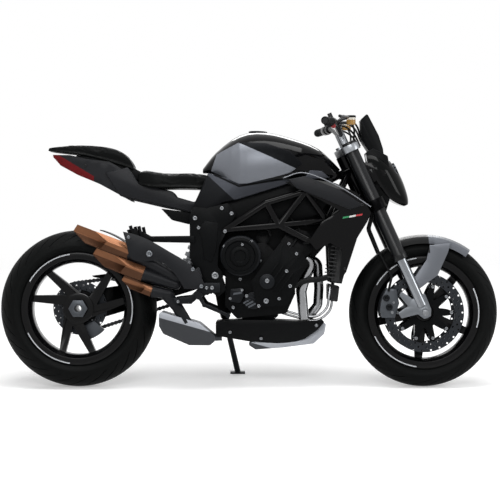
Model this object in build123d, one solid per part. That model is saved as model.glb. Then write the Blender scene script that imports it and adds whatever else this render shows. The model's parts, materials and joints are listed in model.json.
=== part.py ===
from build123d import *
from functools import cache
from math import asin, atan2, cos, degrees, hypot, pi, radians, sin
import os

# Bike frame, in millimetres: x forward from the swingarm pivot, y to the left, z up from the ground
# Stance and steering
PIVOT = (0, 453)
SWINGARM_REACH = 552
SWINGARM_DROP = 135
HEAD = (613, 745)
RAKE = 24.5
YOKE_OFFSET = 30
FORK_DROP = 500
LEAN = 7

# Wheels
FRONT_TYRE_RADIUS = 302
FRONT_TYRE_WIDTH = 120
REAR_TYRE_RADIUS = 318
REAR_TYRE_WIDTH = 180
CROWN_DROP = 0.34
CROWN_BANDS = 6
RIM_FLANGE_RADIUS = 227
RIM_BEAD_RADIUS = 214
RIM_INNER_RADIUS = 186
RIM_LIP = 7
FRONT_RIM_WIDTH = 104
REAR_RIM_WIDTH = 156
FIT = 0.3
FRONT_SPOKES = 5
FRONT_SPOKE_END = 48
FRONT_SPOKE_SWEEP = 22
FRONT_SPOKE_WIDTH = (52, 30)
FRONT_SPOKE_HALF = 17
FRONT_HUB_RADIUS = 40
FRONT_HUB_HALF = 58
REAR_SPOKE_PAIRS = 3
REAR_PAIR_START = -9
REAR_SPOKE_ENDS = (19, 57)
REAR_SPOKE_ROOTS = (-16, 20)
REAR_SPOKE_WIDTH = (46, 26)
REAR_SPOKE_ROOT = 43
REAR_SPOKE_SIDES = (-26, 14)
REAR_HUB_RADIUS = 62
REAR_HUB_SIDES = (-40, 38)

# Axles, discs and calipers
FRONT_AXLE_RADIUS = 12.5
FRONT_AXLE_HALF = 122
AXLE_CLEARANCE = 0.5
REAR_AXLE_RADIUS = 25
REAR_AXLE_BORE = 14
REAR_AXLE_SIDES = (-64, 136)
REAR_NUT_RADIUS = 39
DISC_THICK = 5
DISC_GAP = 5
FRONT_DISC_RADIUS = 160
FRONT_DISC_INNER = 122
FRONT_DISC_SIDE = 64
FRONT_CALIPER_SIDES = (48, 91)
DISC_ARMS = 6
DISC_ARM_WIDTH = 22
REAR_DISC_RADIUS = 110
REAR_DISC_INNER = 74
REAR_DISC_SIDE = 42
REAR_CALIPER_SIDES = (25, 66)
REAR_CALIPER_ANGLES = (-85, -42)
REAR_CALIPER_RADII = (78, 134)
REAR_CALIPER_HANGER = 8
CALIPER_SEAT = 10
HUGGER_ARC = (18, 74)
HUGGER_STAY = 24
HUGGER_DROP = 52

# Chain drive
CHAIN_PITCH = 15.875
REAR_TEETH = 41
FRONT_TEETH = 16
FRONT_SPROCKET = (92, 460)
CHAIN_SIDE = 112
CHAIN_HALF = 9
CHAIN_PIN_HEIGHT = 8.5
CHAIN_WAIST_HEIGHT = 5.5
SPROCKET_HALF = 3
SPROCKET_CLEARANCE = 2.5
GUARD_START = 60
GUARD_REACH = 330
GUARD_WALL = 3

# Swingarm and shock
CARRIER_RADIUS = 66
CARRIER_SIDES = (56, 103)
CARRIER_CLEARANCE = 1
ARM_TOP = [(-420, 405), (-230, 432), (-100, 470)]
ARM_BOTTOM = [(-100, 385), (-230, 345), (-420, 290)]
ARM_INNER = [(-60, 56), (105, 56), (135, 62), (172, 92), (215, 98), (335, 98), (415, 62), (552, 50)]
ARM_OUTER = [(552, 97), (415, 97), (330, 136), (185, 136), (135, 103), (-60, 103)]
PIVOT_TUBE_RADIUS = 34
PIVOT_TUBE_SIDES = (-122, 97)
PIVOT_BOLT_RADIUS = 14
SHOCK_UPPER = (-20, 690)
SHOCK_RADII = (16, 24, 35)
SHOCK_COILS = 7
SHOCK_SEATS = (25, 39)
SHOCK_MOUNT = [(-122, 446), (-146, 428), (-122, 402)]

# Frame
TUBE_RADIUS = 14
HEAD_TUBE_RADIUS = 33
HEAD_TUBE_BORE = 24
HEAD_TUBE_LENGTH = 212
NODE_A = (43, 134, 634)
NODE_B = (209, 150, 743)
NODE_C = (367, 134, 790)
NODE_D = (259, 150, 653)
NODE_E = (451, 110, 673)
NODE_F = (372, 150, 596)
ENGINE_MOUNT_RADIUS = 12
HEAD_TOP_JOIN = 150
HEAD_LOW_JOIN = 35
PLATE = [(-98, 690), (-84, 728), (-30, 722), (55, 743), (88, 699), (52, 632), (20, 571), (14, 495), (47, 395),
         (15, 366), (-41, 415), (-97, 523), (-97, 595)]
PLATE_SIDES = (127, 140)
PLATE_CORNER = 7
STAND_LUG = [(-6, 405), (44, 405), (62, 296), (40, 262), (14, 296)]
SUBFRAME = [(-331.7, 806), (-300, 814.5), (-285, 814.9), (-199, 765), (-74, 728), (-58, 700), (-199, 726),
            (-331.7, 757)]
SUBFRAME_SIDES = (62, 84)
CROSS_TUBE = (-80, 708)
CROSS_TUBE_RADIUS = 13

# Engine
CRANKCASE = [(44, 330), (44, 512), (68, 572), (205, 585), (322, 470), (326, 380), (290, 300), (90, 280)]
CRANKCASE_HALF = 97
CYLINDERS = [(150, 430), (216, 520), (268, 588), (352, 548), (380, 500), (322, 410), (290, 330), (170, 330)]
CYLINDERS_HALF = 132
HEAD_COVER = [(262, 584), (288, 618), (330, 640), (372, 630), (398, 596), (392, 552), (366, 524)]
HEAD_COVER_HALF = 118
SPLIT_FLANGE = [(46, 452), (46, 464), (158, 464), (158, 452)]
SPLIT_FLANGE_PROUD = 5
BARREL_RIBS = 4
BARREL_RIB = (5, 7)
BARREL_RIB_RUN = [(196, 420), (258, 505)]
BARREL_RIB_STEP = 24
SUMP = [(96, 300), (270, 300), (232, 268), (120, 268)]
SUMP_HALF = 78
STARTER = (196, 604)
STARTER_RADIUS = 27
STARTER_SIDES = (-88, 20)
ENGINE_CORNER = 12
CLUTCH = (106, 533)
CLUTCH_RADII = (82, 66, 32)
CLUTCH_LOBES = 3
CLUTCH_LOBE = (24, 30, 40)
COVER_CHAMFER = 4.5
CLUTCH_SIDES = (97, 142, 158, 166)
CRANK_END = (212, 429)
CRANK_END_RADIUS = 30
CRANK_CAP_RADIUS = 21
CRANK_CAP_DEPTH = 22
PUMP = (158, 352)
PUMP_RADIUS = 34
PUMP_DEPTH = 26
PUMP_RIBS = 4
PUMP_RIB = (44, 4, 5)
PUMP_RIB_STEP = 12
PUMP_RIB_TILT = 28
SELECTOR = [(62, 348), (66, 398), (112, 402), (120, 372), (104, 342)]
ALTERNATOR = (232, 440)
ALTERNATOR_RADIUS = 74
ALTERNATOR_CAP_RADIUS = 53
ALTERNATOR_CAP_DEPTH = 41
COVER_DEPTH = 32
AIRBOX = [(26, 654), (110, 628), (300, 660), (420, 700), (470, 760), (480, 839.3), (300, 839.3), (110, 800),
          (26, 786)]
AIRBOX_HALF = 92

# Cooling
RADIATOR_FOOT = (472, 430)
RADIATOR_LEAN = 8
RADIATOR_HEIGHT = 215
RADIATOR_THICK = 34
RADIATOR_HALF = 150
RADIATOR_TANK = 22
RADIATOR_LOUVRES = 13
RADIATOR_LOUVRE = (30, 9, 5)
OIL_COOLER = [(456, 420), (505, 409), (497, 345), (456, 353)]
OIL_COOLER_HALF = 70

# Exhaust
HEADER_RADIUS = 19.5
HEADER_SIDES = (-92, 0, 92)
HEADER_SIDE_PATH = [(370, 520), (398, 508), (366, 440), (352, 390), (362, 276)]
HEADER_MID_PATH = [(370, 520), (418, 506), (424, 400), (420, 330), (376, 276)]
HEADER_BEND = 28
BELLY = [(6, 268), (108, 274), (235, 273), (358, 268), (449, 274), (416, 234), (364, 196), (331, 186),
         (269, 177), (135, 187), (6, 210)]
BELLY_HALF = 108
COLLECTOR = [(452, 262), (443, 216), (400, 177), (275, 161), (166, 153), (131, 176), (200, 200), (400, 250)]
COLLECTOR_HALF = 62
BOX = [(-221, 298), (-212, 308), (-57, 262), (2, 212), (3, 190), (-17, 172), (-101, 172), (-205, 218),
       (-221, 250)]
BOX_SIDES = (-140, 60)
BOX_INLET = [(-30, -40, 200), (30, -40, 203)]
BOX_INLET_RADIUS = 15
BOX_CORNER = 9
BOX_CREASE = [(-221, 285), (3, 222)]
BELLY_CREASE = [(6, 238), (449, 262)]
CREASE_LEAN = 32
CAN_SIDE = -128
CAN_STARTS = [(-338, 547), (-283, 460), (-250, 390)]
CAN_ENDS = [(-150, 446), (-152, 416), (-178, 378)]
CAN_RADII = [(32, 22), (31, 20), (25, 19)]

ARCH_OUTER = [(-362, 628), (-255, 593), (-175, 547), (-83, 487), (-36, 412)]
ARCH_INNER = [(-128, 418), (-150, 452), (-224, 511), (-311, 512), (-345, 566)]
ARCH_FOOT = [(-52, 400), (-118, 400)]
ARCH_SIDES = (-173, -164)
ARCH_BOLT = (-257, 540)
ARCH_BOLT_RADIUS = 15
ARCH_TAB = [(-60, 492), (-46, 446), (-84, 424), (-96, 455)]
TIP_SECTION = [(33, 8), (14, 30), (-18, 30), (-31, 0), (-16, -30), (14, -30)]
TIP_WALL = 3
TIP_SIDE = -132
TIP_RISE = 20.5
TIP_SLASH_OUT = 2.5
TIP_SLASH_UP = 0.83

TIP_SCALES = (1, 1, 0.72)
TIP_REACH = (166, 142, 74)
TIP_FLOOR = 30
LINK_RADIUS = 23
LINK_SIDE = -118
LINK_PATH = [(-110, 262), (-150, 330), (-190, 373)]

# Bodywork
TANK_SECTIONS = [(-47, 52, 866, 873, 884), (5, 92, 860, 890, 950), (102, 146, 820, 900, 1021),
                 (205, 160, 836, 905, 1033), (320, 146, 840, 905, 1006), (420, 106, 842, 892, 967),
                 (476, 90, 844, 872, 917), (520, 63, 844, 854, 868)]
TANK_STEPS = 3
TANK_SHOULDER = (0.84, 0.62)
TANK_FOOT = 0.9
TUNNEL_START = 425
TUNNEL_GAP = 4
PANEL = [(10, 940), (100, 987), (208, 982), (303, 950), (356, 900), (301, 862), (223, 842), (109, 816),
         (-16, 866)]
PANEL_THICK = 7
FAIRING = [(285, 826), (343, 836), (391, 836), (483, 822), (563, 786), (599, 751), (627, 703), (611, 667),
           (571, 603), (527, 467), (499, 431), (512, 555), (463, 583), (407, 555), (379, 591), (431, 667),
           (503, 711), (415, 759), (363, 786)]
FAIRING_PLAN = [(270, 150), (400, 157), (540, 158), (650, 156)]
FAIRING_THICK = 7
SEAT_SECTIONS = [(-312, 100, 824, 871), (-240, 134, 805, 866), (-141, 128, 803, 860), (-60, 104, 801, 858),
                 (-8, 88, 803, 847), (24, 78, 812, 838)]
SEAT_CORNER = 12
PILLION_SECTIONS = [(-676, 54, 957, 966), (-600, 78, 947, 973), (-500, 92, 932, 973), (-410, 96, 907.8, 961),
                    (-376, 95, 897, 948), (-322, 90, 876, 884)]
PILLION_CORNER = 4
TAIL = [(-655, 940), (-583, 938), (-510, 922), (-421, 911), (-349, 868), (-332, 806), (-332, 750), (-381, 777),
        (-462, 821), (-550, 858), (-623, 898)]
TAIL_PLAN = [(-690, 46), (-600, 68), (-440, 88), (-325, 92)]
LAMP_DEPTH = 16
LAMP_HALF = 44
LAMP = [(-656, 934), (-622, 896), (-552, 858), (-483, 830)]

# Footrests and pedals
REST_BRACKET = [(-162, 340), (-162, 362), (-96, 370), (-40, 424), (24, 424), (24, 386), (-40, 384), (-90, 340)]
REST_BRACKET_SIDES = (149.3, 157)
PEG = (-147, 352)
PEG_RADIUS = 11
PEG_LENGTH = 88
REST_PAD = (0, 404)
PILLION_HANGER = [(-78, 584), (-78, 612), (-262, 610), (-322, 642), (-350, 634), (-318, 590), (-230, 587)]
PILLION_PRONGS = [((-318, 596), (-334, 652)), ((-288, 598), (-300, 650))]
PILLION_HANGER_SIDES = (140.3, 149)
PRONG_RADIUS = 7
PEDAL = [(-60, 372), (-38, 336), (56, 296)]
PEDAL_RADIUS = 7
PEDAL_SIDE = 186
PEDAL_PAD = 34
PEDAL_PAD_RADIUS = 10
PEDAL_ELBOW_RADIUS = 9

# Side stand
STAND_PIVOT = (38, 282)
STAND_BOSS = 7
STAND_EYE_WIDTH = 24
STAND_EYE_RADIUS = 17
STAND_FOOT = (92, 278)
STAND_RADIUS = 12
STAND_PAD = (62, 34, 8)
STAND_STOWED = (-250, 40, 26)

# Fork, in the fork frame: x ahead of the leg line, z up along it from the front axle
FORK_HALF = 104
STANCHION_RADIUS = 21.5
STANCHION_FROM = 30
OUTER_TUBE_RADIUS = 28
OUTER_TUBE_FROM = 235
FORK_TOP = 752
SEAL_RADIUS = 31
SEAL_HEIGHT = 24
YOKE_WALL = 11
YOKE_WAIST = (0.7, 0.8)
LOWER_YOKE = (456, 499.7)
UPPER_YOKE = (712.3, 740)
STEM_RADIUS = 19
STEM_BORE = 10
STEM_NUT = 22
FOOT = [(-26, 72), (30, 72), (27, 4), (14, -20), (-14, -20), (-30, 8), (-96, 20), (-100, 46), (-52, 52),
        (-66, 108), (-52, 118), (-28, 80)]
FOOT_SIDES = (91.3, 116)
FOOT_BOSS_RADIUS = 21
FOOT_BOSS_SIDE = 120
STAY_BOSS = (-4, 104)
CALIPER = [(-112, 160), (-66, 132), (-78, 78), (-118, 32), (-167, 54), (-157, 106)]
MUDGUARD_ARC = (29, 88)
MUDGUARD_GAP = 9
MUDGUARD_WALL = 4
MUDGUARD_HALF = 66
MUDGUARD_CROWN = 0.55
MUDGUARD_SHOULDER = 10
MUDGUARD_SKIRT = 36
MUDGUARD_STAY = [(132, 239), (212, 212), (187, 183), (111, 116), (-8, 90), (-8, 128), (95, 190)]
MUDGUARD_STAY_SIDES = (75, 80)
MUDGUARD_STAY_HEAD = [(132, 239), (212, 212), (187, 183), (125, 205)]
STAY_BOSS_RADIUS = 13
HEADLIGHT_SECTIONS = [(424, 108, 126, 30), (462, 72, 140, 62), (530, 47, 146, 84), (595, 44, 138, 92),
                      (645, 46, 114, 84), (686, 58, 74, 56)]
HEADLIGHT_CHEEK = (0.62, 0.86)
LENS_DEPTH = 14
COWL = [(125, 828), (131, 729), (124, 672), (112, 636), (68, 680), (58, 743), (90, 816)]
COWL_PLAN = [(40, 44), (80, 66), (135, 40)]
LAMP_ARM = (50, 34, 52)
LAMP_ARM_HEIGHT = 590
BAR_RADIUS = 11
BAR_POINTS = [(-65, 395, 857), (-16, 168, 840), (-9, 62, 795)]
BAR_BEND = 45
RISER_RADIUS = 17
RISER_HALF = 44
GRIP_RADIUS = 16.5
GRIP_LENGTH = 124
GRIP_END = 2
SWITCH_LENGTH = 42
SWITCH_RADIUS = 20
PERCH_LENGTH = 30
PERCH_RADIUS = 17
CLAMP_GAP = 1
LEVER_REACH = 62
LEVER_RADIUS = 6
LEVER_SPAN = (112, 18)
LEVER_TIP_REACH = 56
MIRROR_BORE = 4.2
MIRROR_DEPTH = 20
MIRROR_BOSS = 9
RESERVOIR_RADIUS = 19
RESERVOIR_HEIGHT = 38
RESERVOIR_AT = (44, 172, 806)
HOSE_RADIUS = 5
HOSE_POINTS = [(-14, 66, 456), (-62, 66, 400), (-66, 62, 300), (-60, 96, 190), (-98, 97, 140)]


def polar(radius, angle):
    return (radius * cos(radians(angle)), radius * sin(radians(angle)))


def outline(points, corner=0):
    face = make_face(Polyline(*points, close=True))
    return fillet(face.vertices(), corner) if corner else face


def slab(face, first, last):
    # A face drawn in (x, z), pulled from one y to another
    low, high = sorted((first, last))
    return extrude(Plane.XZ.offset(-high) * face, amount=high - low)


def plan_prism(face, low, high):
    return extrude(Plane.XY.offset(low) * face, amount=high - low)


def front_prism(face, back, front):
    return extrude(Plane.YZ.offset(back) * face, amount=front - back)


def smooth_plan(points):
    # A plan half-width given along x, closed with its mirror image
    right = Spline(*points)
    left = Spline(*[(x, -y) for x, y in reversed(points)])
    return make_face([right, Line(right @ 1, left @ 0), left, Line(left @ 1, right @ 0)])


def across_plane(x, z):
    # A plane square to the bike's length, with its own x to the left and y up
    return Plane(origin=(x, 0, z), x_dir=(0, 1, 0), z_dir=(1, 0, 0))


def rod(start, end, radius):
    way = Vector(end) - Vector(start)
    return extrude(Plane(origin=start, z_dir=way) * Circle(radius), amount=way.length)


def bent_tube(points, bend, radius):
    path = FilletPolyline(*points, radius=bend)
    return sweep(Plane(origin=path @ 0, z_dir=path % 0) * Circle(radius), path=path)


def ring(outer, inner, first, last):
    # A washer on the y axis
    face = Circle(outer) - Circle(inner) if inner else Circle(outer)
    return slab(face, first, last)


def drum(centre, radius, first, last):
    return Pos(centre[0], 0, centre[1]) * ring(radius, 0, first, last)


def both(shape):
    return Compound(children=[*shape.solids(), *mirror(shape, about=Plane.XZ).solids()])


def group(*shapes):
    return Compound(children=[solid for shape in shapes for solid in shape.solids()])


# Datum points worked out from the driving dimensions
REAR_AXLE = (PIVOT[0] - SWINGARM_REACH, PIVOT[1] - SWINGARM_DROP)
FORK_UP = (-sin(radians(RAKE)), 0, cos(radians(RAKE)))
FORK_AHEAD = (cos(radians(RAKE)), 0, sin(radians(RAKE)))
FRONT_AXLE = (HEAD[0] + YOKE_OFFSET * FORK_AHEAD[0] - FORK_DROP * FORK_UP[0],
              HEAD[1] + YOKE_OFFSET * FORK_AHEAD[2] - FORK_DROP * FORK_UP[2])
FORK_FRAME = Plane(origin=(FRONT_AXLE[0], 0, FRONT_AXLE[1]), x_dir=FORK_AHEAD, z_dir=FORK_UP)


def head_point(height):
    # A point on the steering axis, measured up from the lower bearing
    return (HEAD[0] + height * FORK_UP[0], 0, HEAD[1] + height * FORK_UP[2])


def crown_points(radius, width):
    drop = CROWN_DROP * width
    curve = (width ** 2 / 4 + drop ** 2) / (2 * drop)
    half_angle = asin(width / 2 / curve)
    steps = [half_angle * (2 * k / CROWN_BANDS - 1) for k in range(CROWN_BANDS + 1)]
    return [(radius - curve + curve * cos(a), curve * sin(a)) for a in steps]


def tyre(radius, width, rim_width):
    seat = rim_width / 2 - RIM_LIP - FIT
    base = RIM_BEAD_RADIUS + FIT
    points = crown_points(radius, width) + [(RIM_FLANGE_RADIUS + FIT, seat), (base, seat), (base, -seat),
                                            (RIM_FLANGE_RADIUS + FIT, -seat)]
    return revolve(outline(points), axis=Axis.Y)


def rim_band(rim_width):
    half = rim_width / 2
    lip = half - RIM_LIP
    rise = RIM_INNER_RADIUS + RIM_LIP * 2
    points = [(RIM_INNER_RADIUS, half / 2), (rise, half), (RIM_FLANGE_RADIUS, half), (RIM_FLANGE_RADIUS, lip),
              (RIM_BEAD_RADIUS, lip)]
    return revolve(outline(points + [(radius, -y) for radius, y in reversed(points)]), axis=Axis.Y)


def spoke(root_radius, root_angle, end_angle, widths, sides):
    root = Vector(*polar(root_radius, root_angle))
    end = Vector(*polar(RIM_INNER_RADIUS + RIM_LIP, end_angle))
    across = Vector(root.Y - end.Y, end.X - root.X).normalized()
    corners = [root + across * widths[0] / 2, root - across * widths[0] / 2, end - across * widths[1] / 2,
               end + across * widths[1] / 2]
    return slab(outline([(c.X, c.Y) for c in corners]), *sides)


def front_rim():
    shape = rim_band(FRONT_RIM_WIDTH) + ring(FRONT_HUB_RADIUS, 0, -FRONT_HUB_HALF, FRONT_HUB_HALF)
    sides = (-FRONT_SPOKE_HALF, FRONT_SPOKE_HALF)
    for k in range(FRONT_SPOKES):
        end = FRONT_SPOKE_END + 360 / FRONT_SPOKES * k
        shape += spoke(FRONT_HUB_RADIUS / 2, end - FRONT_SPOKE_SWEEP, end, FRONT_SPOKE_WIDTH, sides)
    return shape - ring(FRONT_AXLE_RADIUS + AXLE_CLEARANCE, 0, -FRONT_AXLE_HALF, FRONT_AXLE_HALF)


def rear_rim():
    shape = rim_band(REAR_RIM_WIDTH) + ring(REAR_HUB_RADIUS, 0, *REAR_HUB_SIDES)
    for k in range(REAR_SPOKE_PAIRS):
        start = REAR_PAIR_START + 360 / REAR_SPOKE_PAIRS * k
        for root, end in zip(REAR_SPOKE_ROOTS, REAR_SPOKE_ENDS):
            shape += spoke(REAR_SPOKE_ROOT, start + root, start + end, REAR_SPOKE_WIDTH, REAR_SPOKE_SIDES)
    return shape - ring(REAR_AXLE_RADIUS, 0, *REAR_AXLE_SIDES)


def disc(radius, inner, hub, first, carrier_first):
    # The braking ring, with arms that carry it from a hub ring
    last = first + DISC_THICK
    shape = ring(radius, inner, first, last)
    arms = ring(hub + DISC_ARM_WIDTH / 2, hub, carrier_first, last)
    for k in range(DISC_ARMS):
        arm = Pos((hub + inner) / 2, 0, 0) * Box(inner - hub + DISC_THICK, DISC_THICK, DISC_ARM_WIDTH)
        arms += Rot(0, 360 / DISC_ARMS * k, 0) * Pos(0, (first + last) / 2, 0) * arm
    return shape + arms


def wheels():
    front = Pos(FRONT_AXLE[0], 0, FRONT_AXLE[1])
    rear = Pos(REAR_AXLE[0], 0, REAR_AXLE[1])
    front_disc = disc(FRONT_DISC_RADIUS, FRONT_DISC_INNER, FRONT_HUB_RADIUS - DISC_THICK, FRONT_DISC_SIDE,
                      FRONT_HUB_HALF)
    rear_disc = disc(REAR_DISC_RADIUS, REAR_DISC_INNER, REAR_AXLE_RADIUS + DISC_THICK, REAR_DISC_SIDE,
                     REAR_HUB_SIDES[1])
    nut = slab(RegularPolygon(REAR_NUT_RADIUS, 6), REAR_AXLE_SIDES[0] + DISC_THICK, REAR_HUB_SIDES[0])
    axle = ring(REAR_AXLE_RADIUS, 0, *REAR_AXLE_SIDES) + nut
    collar = CHAIN_SIDE + SPROCKET_HALF, REAR_AXLE_SIDES[1] - DISC_THICK
    axle += ring(REAR_AXLE_RADIUS + 2 * DISC_THICK, 0, *collar)
    axle -= ring(REAR_AXLE_BORE, 0, *REAR_AXLE_SIDES)
    tips = pitch_radius(REAR_TEETH) - CHAIN_PIN_HEIGHT - SPROCKET_CLEARANCE
    sprocket = ring(tips, REAR_AXLE_RADIUS, CHAIN_SIDE - SPROCKET_HALF, CHAIN_SIDE + SPROCKET_HALF)
    return {
        "front_rim": front * front_rim(),
        "front_tyre": front * tyre(FRONT_TYRE_RADIUS, FRONT_TYRE_WIDTH, FRONT_RIM_WIDTH),
        "front_discs": front * both(front_disc),
        "rear_rim": rear * rear_rim(),
        "rear_tyre": rear * tyre(REAR_TYRE_RADIUS, REAR_TYRE_WIDTH, REAR_RIM_WIDTH),
        "rear_disc": rear * rear_disc,
        "rear_sprocket": rear * sprocket,
        "rear_axle": rear * axle,
    }


def pitch_radius(teeth):
    return CHAIN_PITCH / (2 * sin(pi / teeth))


def chain_loop():
    # Belt round the two sprockets: where it is, and which way is out, at any distance along it
    big, small = pitch_radius(REAR_TEETH), pitch_radius(FRONT_TEETH)
    run_x, run_z = FRONT_SPROCKET[0] - REAR_AXLE[0], FRONT_SPROCKET[1] - REAR_AXLE[1]
    distance = hypot(run_x, run_z)
    slope, taper = atan2(run_z, run_x), asin((big - small) / distance)
    straight = distance * cos(taper)
    rear_wrap, front_wrap = big * (pi + 2 * taper), small * (pi - 2 * taper)
    total = 2 * straight + rear_wrap + front_wrap

    def at(length):
        top, low = slope + pi / 2 - taper, slope - pi / 2 + taper
        if length < straight:
            angle, centre, reach, along = top, REAR_AXLE, big, length
        elif length < straight + front_wrap:
            angle, centre, reach, along = top - (length - straight) / small, FRONT_SPROCKET, small, 0
        elif length < 2 * straight + front_wrap:
            angle, centre, reach, along = low, FRONT_SPROCKET, small, length - straight - front_wrap
        else:
            angle, centre, reach, along = low - (length - 2 * straight - front_wrap) / big, REAR_AXLE, big, 0
        out = (cos(angle), sin(angle))
        return (centre[0] + reach * out[0] + along * out[1], centre[1] + reach * out[1] - along * out[0]), out

    return total, at


def chain():
    total, at = chain_loop()
    links = 2 * round(total / CHAIN_PITCH / 2)
    outer, inner = [], []
    for k in range(2 * links):
        (x, z), out = at(total * k / (2 * links))
        height = CHAIN_WAIST_HEIGHT if k % 2 else CHAIN_PIN_HEIGHT
        outer.append((x + height * out[0], z + height * out[1]))
        inner.append((x - height * out[0], z - height * out[1]))
    return slab(outline(outer) - outline(inner), CHAIN_SIDE - CHAIN_HALF, CHAIN_SIDE + CHAIN_HALF)


def chain_guard():
    # A lid over the upper run with a skirt that stands on the arm
    total, at = chain_loop()
    start, out = at(GUARD_START)
    end, out = at(GUARD_START + GUARD_REACH)
    gap, wall = CHAIN_PIN_HEIGHT + 2 * DISC_GAP, GUARD_WALL
    low = [(x + gap * out[0], z + gap * out[1]) for x, z in (start, end)]
    high = [(x + wall * out[0], z + wall * out[1]) for x, z in low]
    edge = CHAIN_SIDE + CHAIN_HALF + 3 * wall
    lid = slab(outline([low[0], low[1], high[1], high[0]]), CHAIN_SIDE - CHAIN_HALF - wall, edge)
    drop = pitch_radius(REAR_TEETH) / 3
    middle = start[0] + GUARD_REACH / 2, start[1] - drop / 2
    hem = [(high[1][0], high[1][1] - drop), middle, (low[0][0], low[0][1] - wall)]
    return lid + slab(outline(high + hem), edge - wall, edge) - swingarm()


@cache
def swingarm():
    carrier = drum(REAR_AXLE, CARRIER_RADIUS, *CARRIER_SIDES)
    above, below = [(PIVOT[0], PIVOT[1] + rise) for rise in (PIVOT_TUBE_RADIUS, -PIVOT_TUBE_RADIUS)]
    top = [(REAR_AXLE[0], REAR_AXLE[1] + CARRIER_RADIUS), *ARM_TOP, above]
    bottom = [below, *ARM_BOTTOM, (REAR_AXLE[0], REAR_AXLE[1] - CARRIER_RADIUS)]
    side = slab(outline(top + bottom), CARRIER_SIDES[0], ARM_OUTER[2][1])
    plan = outline([(x + REAR_AXLE[0], y) for x, y in ARM_INNER + ARM_OUTER])
    arm = side & plan_prism(plan, 0, PIVOT[1] * 2)
    tube = drum(PIVOT, PIVOT_TUBE_RADIUS, *PIVOT_TUBE_SIDES)
    mount = outline([above, *SHOCK_MOUNT, below])
    shape = carrier + arm + tube + slab(mount, -CARRIER_RADIUS, CARRIER_SIDES[0] + PIVOT_TUBE_RADIUS)
    shape -= drum(REAR_AXLE, REAR_AXLE_RADIUS + CARRIER_CLEARANCE, *REAR_AXLE_SIDES)
    return shape - drum(PIVOT, PIVOT_BOLT_RADIUS, -PLATE_SIDES[1], PLATE_SIDES[1])


def rear_shock():
    # A body with a stack of coils, turned on its own axis and stood between its two mounts
    length = hypot(SHOCK_UPPER[0] - SHOCK_MOUNT[0][0], SHOCK_UPPER[1] - SHOCK_MOUNT[0][1])
    rod_radius, body_radius, coil_radius = SHOCK_RADII
    start, end = SHOCK_SEATS[0], length - SHOCK_SEATS[1]
    step = (end - start) / SHOCK_COILS
    edge = [(0, 0), (rod_radius, 0), (rod_radius, start), (coil_radius, start)]
    for k in range(SHOCK_COILS):
        edge += [(coil_radius, start + (k + 0.5) * step), (body_radius, start + (k + 0.6) * step),
                 (body_radius, start + (k + 0.9) * step), (coil_radius, start + (k + 1) * step)]
    edge += [(body_radius, end), (body_radius, length), (0, length)]
    body = revolve(Plane.XZ * outline(edge), axis=Axis.Z)
    way = Vector(SHOCK_UPPER[0] - SHOCK_MOUNT[0][0], 0, SHOCK_UPPER[1] - SHOCK_MOUNT[0][1])
    stood = Plane(origin=(SHOCK_MOUNT[0][0], 0, SHOCK_MOUNT[0][1]), z_dir=way).location * body
    return stood - swingarm() - cross_tubes()


@cache
def cross_tubes():
    return drum(SHOCK_UPPER, CROSS_TUBE_RADIUS, -PLATE_SIDES[0], PLATE_SIDES[0])


def frame_plates():
    plate = slab(outline(PLATE, PLATE_CORNER), *PLATE_SIDES)
    lug = slab(outline(STAND_LUG, PLATE_CORNER), *PLATE_SIDES)
    bolt = drum(PIVOT, PIVOT_BOLT_RADIUS, -PLATE_SIDES[1], PLATE_SIDES[1])
    return plate + mirror(plate, about=Plane.XZ) + lug + stand_boss() + bolt + cross_tubes() - trellis()


@cache
def trellis():
    # One side's tubes, then the mirror image, then the steering head they run to
    tops = Vector(*head_point(HEAD_TOP_JOIN))
    lows = Vector(*head_point(HEAD_LOW_JOIN))
    head_top = (tops.X, HEAD_TUBE_RADIUS / 2, tops.Z)
    head_low = (lows.X, HEAD_TUBE_RADIUS / 2, lows.Z)
    runs = [(NODE_A, NODE_B), (NODE_B, NODE_C), (NODE_C, head_top), (NODE_A, NODE_D), (NODE_D, NODE_E),
            (NODE_E, head_low), (NODE_B, NODE_D), (NODE_D, NODE_C), (NODE_C, NODE_E), (NODE_D, NODE_F),
            (NODE_E, head_top)]
    side = rod(*runs[0], TUBE_RADIUS)
    for run in runs[1:]:
        side += rod(*run, TUBE_RADIUS)
    for node in (NODE_A, NODE_B, NODE_C, NODE_D, NODE_E):
        side += Pos(*node) * Sphere(TUBE_RADIUS)
    x, y, z = NODE_F
    side += drum((x, z), ENGINE_MOUNT_RADIUS, HEAD_COVER_HALF + FIT, y - TUBE_RADIUS / 2)
    head = rod(head_point(0), head_point(HEAD_TUBE_LENGTH), HEAD_TUBE_RADIUS)
    bore = rod(head_point(-TUBE_RADIUS), head_point(HEAD_TUBE_LENGTH + TUBE_RADIUS), HEAD_TUBE_BORE)
    return side + mirror(side, about=Plane.XZ) + head - bore


def subframe():
    strut = slab(outline(SUBFRAME, PLATE_CORNER / 2), *SUBFRAME_SIDES) - Pos(0, 0, -FIT) * rider_seat()
    tie = drum(CROSS_TUBE, CROSS_TUBE_RADIUS, -PLATE_SIDES[0], PLATE_SIDES[0])
    return strut + mirror(strut, about=Plane.XZ) + tie


def barrel_ribs():
    # Parallel ribs down the side of the cylinders, one side of the bike
    (x0, z0), (x1, z1) = BARREL_RIB_RUN
    length, turn = hypot(x1 - x0, z1 - z0), degrees(atan2(z1 - z0, x1 - x0))
    wide, proud = BARREL_RIB
    shape = None
    for k in range(BARREL_RIBS):
        rib = Pos(0, CYLINDERS_HALF + proud / 2, -k * BARREL_RIB_STEP) * Box(length, 2 * proud, wide)
        placed = Pos((x0 + x1) / 2, 0, (z0 + z1) / 2) * Rot(0, -turn, 0) * rib
        shape = placed if shape is None else shape + placed
    return shape


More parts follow.
